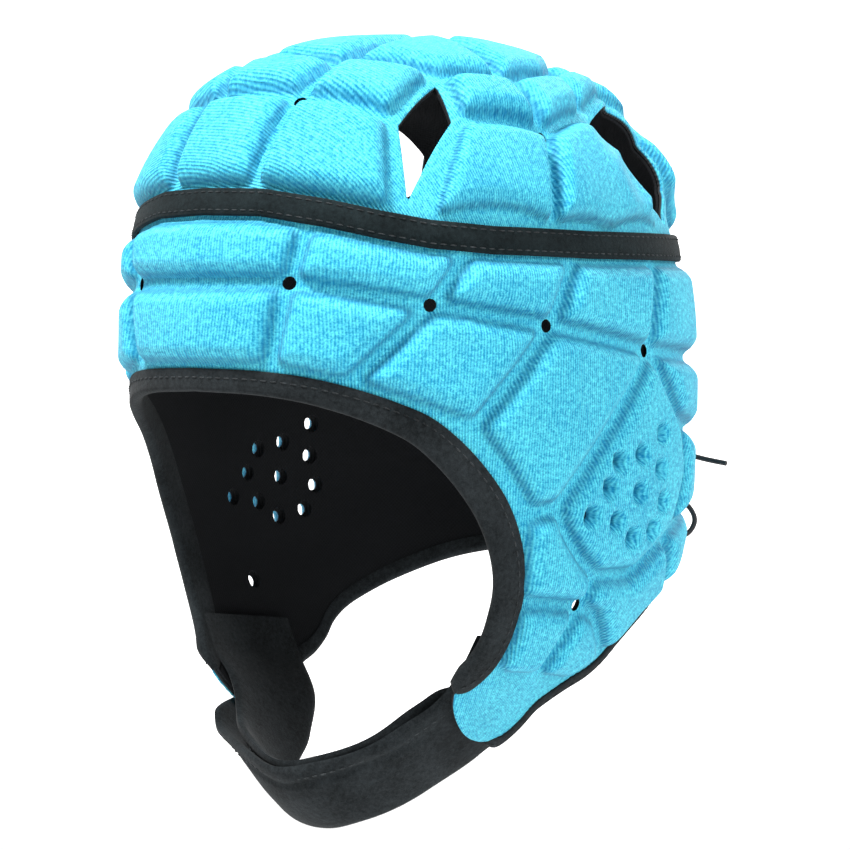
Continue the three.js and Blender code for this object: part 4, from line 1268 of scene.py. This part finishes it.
class Crown(Panel):
    """The padded crown with its four vents."""

    dome = 2.6
    dome_flat = 30.0
    dome_fall = 75.0
    far_rim = np.array([(52, 36), (44, 50), (50, 64), (62, 70), (76, 66)])
    far_lift = 3.6
    far_reach = 20.0
    band_room = 9.0
    band_ease = 14.0
    near_rim = np.array([(66, 24), (76, 34), (83, 50), (81, 62)])
    near_drop = 0.78
    near_reach = 21.0

    def cloth(self, flat: np.ndarray) -> np.ndarray:
        """Give how far inside the crown's outline and outside its vents points lie."""
        around, s = self.pattern.spot(flat)
        gap = seam_length(around) - CLEARANCE / 2 - s
        for vent in CROWN_VENTS:
            gap = np.minimum(gap, -side_distance(both_sides(flat), crown_flat(vent)))
        return gap

    def holes(self) -> list[tuple[np.ndarray, float]]:
        """Give the vent holes."""
        return [(crown_flat([CROWN_CORNERS[name] for name in CROWN_HOLES]), VENT_HOLE)]

    def near(self, flat: np.ndarray, spots: np.ndarray, reach: float) -> np.ndarray:
        """Give 1 at any of a row of spots, falling to 0 at a distance of them."""
        half = both_sides(flat)
        gap = np.min([np.linalg.norm(half - spot, axis=1) for spot in crown_flat(spots)], axis=0)
        return 1 - eased(gap / reach)

    def sway(self, flat: np.ndarray) -> np.ndarray:
        """Give how far the domed middle and the rear vents' far rims stand proud."""
        around, s = self.pattern.spot(flat)
        top = self.dome * (1 - eased((s - self.dome_flat) / self.dome_fall))
        above = eased((seam_length(around) - s - self.band_room) / self.band_ease)
        return top + self.far_lift * self.near(flat, self.far_rim, self.far_reach) * above

    def eased_off(self, flat: np.ndarray) -> np.ndarray:
        """Give the share of the pads' height that is left beside the rear vents' near rims."""
        return 1 - self.near_drop * self.near(flat, self.near_rim, self.near_reach)

    def pads(self) -> list[Pad]:
        """Give the crown's pads."""
        rings = [named_ring(names, CROWN_CORNERS, crown_flat) for names in CROWN_PADS]
        middle = [named_ring(names, CROWN_CORNERS, crown_flat, True)
                  for names in CROWN_CENTRE_PADS]
        return [Pad(ring) for ring in [*rings, *map(mirrored, rings), *middle]]


class Side(Panel):
    """The padded wrap of brow, temples, ears, cheeks and nape."""

    edge_step = 2.5
    over_seam = 40.0
    past_middle = 60.0

    def outline(self) -> np.ndarray:
        """Give the wearer's left half's edge, closed above the seam and past the middle."""
        face, tab, neck = (edge_curve(rows, self.edge_step)[:, :2] for rows in (
            FACE_EDGE, [FACE_EDGE[-1][:2], *TAB_EDGE, NECK_EDGE[0]], NECK_EDGE))
        slit = side_flat([(180, down) for down, _ in SLIT])
        slit[:, 0] -= np.array([share for _, share in SLIT]) * SLIT_WIDTH / 2
        top = -CROWN_REACH + self.over_seam
        far = [(slit[-1, 0], top), (-self.past_middle, top), (-self.past_middle, face[0, 1])]
        return np.vstack([face, tab[1:], neck[1:], slit, far])

    def cloth(self, flat: np.ndarray) -> np.ndarray:
        """Give how far inside the panel's outline points lie."""
        around, s = self.pattern.spot(flat)
        half = both_sides(flat)
        under = s - seam_length(around) - CLEARANCE / 2
        back = math.pi * GIRTH - CLEARANCE / 2 - half[:, 0]
        return np.minimum(np.minimum(side_distance(half, self.edge), under), back)

    def holes(self) -> list[tuple[np.ndarray, float]]:
        """Give the vent holes, the eyelets and the ear holes."""
        small = side_flat([SIDE_CORNERS[name] for name in SIDE_HOLES])
        eyelets = side_flat([(180, down) for down in LACE_ROWS]) - (LACE_SPREAD / 2, 0)
        return [(small, VENT_HOLE), (eyelets, LACE_HOLE), (side_flat(EAR_HOLES), EAR_HOLE)]

    def pads(self) -> list[Pad]:
        """Give the side panel's pads."""
        rings = [named_ring(names, SIDE_CORNERS, side_flat) for names in SIDE_PADS]
        ear = named_ring(EAR_PAD, SIDE_CORNERS, side_flat)
        dimples = side_flat(EAR_HOLES)
        middle = [named_ring(names, SIDE_CORNERS, side_flat, True)
                  for names in SIDE_CENTRE_PADS]
        plain = [Pad(ring) for ring in [*rings, *map(mirrored, rings), *middle]]
        return [*plain, Pad(ear, tuple(map(tuple, dimples))),
                Pad(mirrored(ear), tuple(map(tuple, mirrored(dimples))))]

    def build(self) -> None:
        """Make the panel and its lining."""
        self.edge = self.outline()
        super().build()


@dataclass
class StitchRow:
    """Rows of sewing stitches along a path."""

    finish: bpy.types.Material
    step: float = 3.3
    length: float = 2.3
    width: float = 0.55

    def tree(self) -> bpy.types.NodeTree:
        """Build the nodes that lay one stitch at every step of a path."""
        tree = bpy.data.node_groups.new("stitch_row", "GeometryNodeTree")
        for name, kind, way in (("Path", "Geometry", "INPUT"), ("Step", "Float", "INPUT"),
                                ("Length", "Float", "INPUT"), ("Width", "Float", "INPUT"),
                                ("Thread", "Material", "INPUT"), ("Stitches", "Geometry", "OUTPUT")):
            tree.interface.new_socket(name, in_out=way, socket_type=f"NodeSocket{kind}")
        given, curve, spots, stitch, size, laid, real, sewn, out = (tree.nodes.new(kind) for kind in (
            "NodeGroupInput", "GeometryNodeMeshToCurve", "GeometryNodeCurveToPoints",
            "GeometryNodeMeshUVSphere", "ShaderNodeCombineXYZ", "GeometryNodeInstanceOnPoints",
            "GeometryNodeRealizeInstances", "GeometryNodeSetMaterial", "NodeGroupOutput"))
        spots.mode = "LENGTH"
        for name, value in (("Segments", 6), ("Rings", 4), ("Radius", 0.5)):
            stitch.inputs[name].default_value = value
        for start, leaving, end, entering in (
                (given, "Path", curve, "Mesh"), (curve, "Curve", spots, "Curve"),
                (given, "Step", spots, "Length"), (given, "Width", size, "X"),
                (given, "Width", size, "Y"), (given, "Length", size, "Z"),
                (spots, "Points", laid, "Points"), (spots, "Rotation", laid, "Rotation"),
                (stitch, "Mesh", laid, "Instance"), (size, "Vector", laid, "Scale"),
                (laid, "Instances", real, "Geometry"), (real, "Geometry", sewn, "Geometry"),
                (given, "Thread", sewn, "Material"), (sewn, "Geometry", out, "Stitches")):
            tree.links.new(start.outputs[leaving], end.inputs[entering])
        return tree

    def sew(self, name: str, paths: Sequence[np.ndarray]) -> None:
        """Sew rows of stitches.

        Args:
            name: the piece's name.
            paths: the rows' points, in millimetres.
        """
        counts = np.cumsum([0, *map(len, paths)])
        edges = [(k, k + 1) for start, end in zip(counts, counts[1:])
                 for k in range(start, end - 1)]
        mesh = bpy.data.meshes.new(f"{name}_path")
        mesh.from_pydata((np.vstack(paths) * MM).tolist(), edges, [])
        guide = bpy.data.objects.new(f"{name}_path", mesh)
        bpy.context.scene.collection.objects.link(guide)
        rows = guide.modifiers.new("stitches", "NODES")
        rows.node_group = self.tree()
        sizes = {"Step": self.step * MM, "Length": self.length * MM,
                 "Width": self.width * MM, "Thread": self.finish}
        for socket in rows.node_group.interface.items_tree:
            if socket.name in sizes:
                rows[socket.identifier] = sizes[socket.name]
        seen = guide.evaluated_get(bpy.context.evaluated_depsgraph_get())
        whole = bpy.data.meshes.new_from_object(seen)
        guide.modifiers.remove(rows)
        bpy.data.objects.remove(guide)
        whole.name = name
        whole.shade_smooth()
        piece = bpy.data.objects.new(name, whole)
        bpy.context.scene.collection.objects.link(piece)
        dressed(piece, self.finish, "trim_velour")


@dataclass
class Trim:
    """Head band, bindings and chin straps."""

    finish: bpy.types.Material
    band_finish: bpy.types.Material
    thread: StitchRow
    step: float = 2.0
    hem: float = 1.5
    wrap: float = 1.0
    band_steps: int = 360
    band_soft: float = 0.5
    band_rise: float = 0.15
    end_rows: float = 4.0
    end_width: float = 0.35
    end_wall: float = 0.5
    roll_turn: float = 80.0
    roll_steps: int = 9
    strap_steps: int = 120
    strap_threads: int = 29
    strap_seam: float = 0.36
    strap_square: int = 10
    sewn_wall: float = 0.2
    sewn_steps: float = 1.5
    full_steps: float = 3.0
    free_steps: float = 4.0
    wave: float = 0.7
    wave_turns: float = 31.0
    wave_slant: float = 2.2
    crease: float = 0.8
    crease_at: float = -0.6
    crease_width: float = 0.08
    # How far the stitches lie outside the band, the bindings and the straps
    band_thread: float = 0.1
    binding_thread: float = 0.05
    strap_thread: float = -0.2

    def build(self) -> None:
        """Make every trim piece."""
        self.band()
        face = edge_curve(FACE_EDGE, self.step)
        whole = np.vstack([(face * (-1, 1, 1))[::-1], face[1:]])
        self.binding("face_edge", whole, "face_binding")
        neck = edge_curve([*TAB_EDGE[3:], *NECK_EDGE], self.step)[2:-4]
        self.binding("neck_edge_left", neck, "neck_binding_left")
        self.binding("neck_edge_right", (neck * (-1, 1, 1))[::-1], "neck_binding_right")
        self.strap("strap_outer", "chin_strap_outer", 0, OUTER_TIP / STRAP_TURNS, self.outer_face)
        self.strap("strap_inner", "chin_strap_inner", 1, INNER_TIP / STRAP_TURNS, self.inner_face)

    def band(self) -> None:
        """Make the flat band over the seam."""
        around = np.linspace(-180, 180, self.band_steps + 1)[1:]
        seam = np.stack([np.radians(around) * GIRTH, -seam_length(around)], 1)
        half, low, high = BAND_WIDTH / 2, 2 * CLEARANCE, 2 * CLEARANCE + BAND_WALL
        soft = self.band_soft
        profile = [(-half, low), (-half, high - soft), (soft - half, high),
                   (0, high + self.band_rise), (half - soft, high), (half, high - soft),
                   (half, low), (0, low)]
        rings = [Pattern.SIDE.lift(seam - (0, off), out) for off, out in profile]
        points, faces = swept(np.stack(rings, 1), True)
        dressed(make_mesh("seam_band", points, faces), self.band_finish, "trim_velour", "head_band")
        rows = [Pattern.SIDE.lift(seam - (0, off), high + self.band_thread)
                for off in (self.hem - half, half - self.hem)]
        self.thread.sew("band_stitches", rows)

    def binding(self, name: str, edge: np.ndarray, node: str) -> None:
        """Roll a binding round an edge of the side panel."""
        way = np.gradient(edge[:, :2], axis=0)
        away = np.stack([way[:, 1], -way[:, 0]], 1) / np.linalg.norm(way, axis=1, keepdims=True)
        row = np.arange(len(edge))
        from_end = np.clip((np.minimum(row, row[::-1]) + 0.6) / self.end_rows, 0, 1)
        full = np.sin(from_end * math.pi / 2)
        low = BINDING_RISE - BINDING_WALL
        wide = edge[:, 2] * (self.end_width + (1 - self.end_width) * full)
        high = low + BINDING_WALL * (self.end_wall + (1 - self.end_wall) * full)
        turn = np.radians(np.linspace(-self.roll_turn, self.roll_turn, self.roll_steps))
        middle, tall = (low + high) / 2, (high - low) / 2
        start = wide * 0 - self.wrap
        rings = [(start, low), (start, high - 0.3), (start + 0.5, high)]
        rings += [(wide - tall + tall * math.cos(a), middle + tall * math.sin(a))
                  for a in turn[::-1]]
        places = [Pattern.SIDE.lift(edge[:, :2] + away * off[:, None], out) for off, out in rings]
        points, faces = swept(np.stack(places, 1), False)
        dressed(make_mesh(name, points, faces), self.finish, "trim_velour", node)
        row = edge[:, :2] + away * (CLEARANCE + self.hem)
        row = Pattern.SIDE.lift(row, high + self.binding_thread)
        self.thread.sew(f"{name}_stitches", [row[2:-2]])

    @staticmethod
    def outer_face(hand: float, tucked: float) -> float:
        """Give how far out the outer strap's outside lies."""
        return (INSIDE_TAB if hand > 0 else OUTSIDE_TAB) * tucked

    @staticmethod
    def inner_face(hand: float, tucked: float) -> float:
        """Give how far out the inner strap's outside lies."""
        if hand > 0:
            return (INSIDE_TAB - 2 * CLEARANCE) * tucked - STRAP_LAYER
        return -STRAP_LAYER + (INSIDE_TAB + STRAP_LAYER) * tucked

    def strap(self, name: str, node: str, start: float, tip: float, face: Callable) -> None:
        """Make a chin strap from its sewn end to its rounded tip.

        Args:
            name: the piece's name.
            node: the frame's node.
            start: where along the sling the strap is sewn, from 0 at the left to 1.
            tip: where along the sling its tip lies.
            face: gives how far out the strap's outside lies, at the hand and share of a row.
        """
        rows = [(*row, 1) for row in SLING] + [(*row, -1) for row in SLING[-2::-1]]
        edges = []
        for k in (0, 1):
            flat = side_flat([row[k] for row in rows]) * [(row[3], 1) for row in rows]
            edges.append(Curve(np.column_stack([flat, [face(row[3], row[2]) for row in rows]])))
        t = np.linspace(start, tip, self.strap_steps)
        left = np.clip(np.abs(t - tip) * STRAP_TURNS / TIP_STEPS, 0, 1)
        round_off = np.maximum(STRAP_TIP, np.sin(left * math.pi / 2))[:, None]
        a, b = (edge.at(t) for edge in edges)
        sewn = np.abs(t - t[0]) * STRAP_TURNS
        full = eased((sewn - self.sewn_steps) / self.full_steps)
        thick = STRAP_WALL * (self.sewn_wall + (1 - self.sewn_wall) * full)
        free = eased((sewn - self.free_steps) / self.free_steps)
        outer, inner = [], []
        for k in np.linspace(-1, 1, self.strap_threads):
            spot = a + (b - a) * (0.5 + 0.5 * k * round_off)
            soft = 0.5 * thick * (1 - math.sqrt(max(0.0, 1 - abs(k) ** self.strap_square)))
            wave = self.wave * np.sin(t * self.wave_turns + self.wave_slant * k) * k * k * free
            crease = self.crease * math.exp(-(((k - self.crease_at) / self.crease_width) ** 2)) * free
            outer.append(Pattern.SIDE.lift(spot[:, :2], spot[:, 2] + wave - soft - crease))
            inner.append(Pattern.SIDE.lift(spot[:, :2], spot[:, 2] + wave - thick + soft))
        points, faces = swept(np.stack([*outer, *inner[-2:0:-1]], 1), False)
        dressed(make_mesh(name, points, faces, None, 80), self.finish, "trim_velour", node)
        spot = a + (b - a) * (0.5 - self.strap_seam * round_off)
        row = Pattern.SIDE.lift(spot[:, :2], spot[:, 2] + self.strap_thread)
        self.thread.sew(f"{name}_stitches", [row[12:-6]])


def main() -> None:
    """Build the cap and its studio."""
    logging.basicConfig(level=logging.INFO, format="%(name)s %(message)s")
    Studio().build()
    Lacing(LaceBraid("lace").build()).build()
    lining = LiningKnit("lining").build()
    reach = CROWN_REACH + CROWN_SPARE
    Crown("crown", Pattern.CROWN, PaddedCloth("crown_cloth", True, 0.08).build(), lining,
          (-reach, -reach), (reach, reach)).build()
    half = math.pi * GIRTH + BACK_SPARE
    Side("side", Pattern.SIDE, PaddedCloth("side_cloth", False, -0.06).build(), lining,
         (-half, -CROWN_REACH - SIDE_REACH), (half, -CROWN_REACH + SIDE_SPARE)).build()
    thread = Velour("thread", (0.01, 0.012, 0.013), (0.07, 0.08, 0.085)).build()
    band = Velour("band_cloth", (0.001, 0.004, 0.005), (0.014, 0.024, 0.027)).build()
    Trim(Velour("velour").build(), band, StitchRow(thread)).build()


if __name__ == "__main__":
    main()
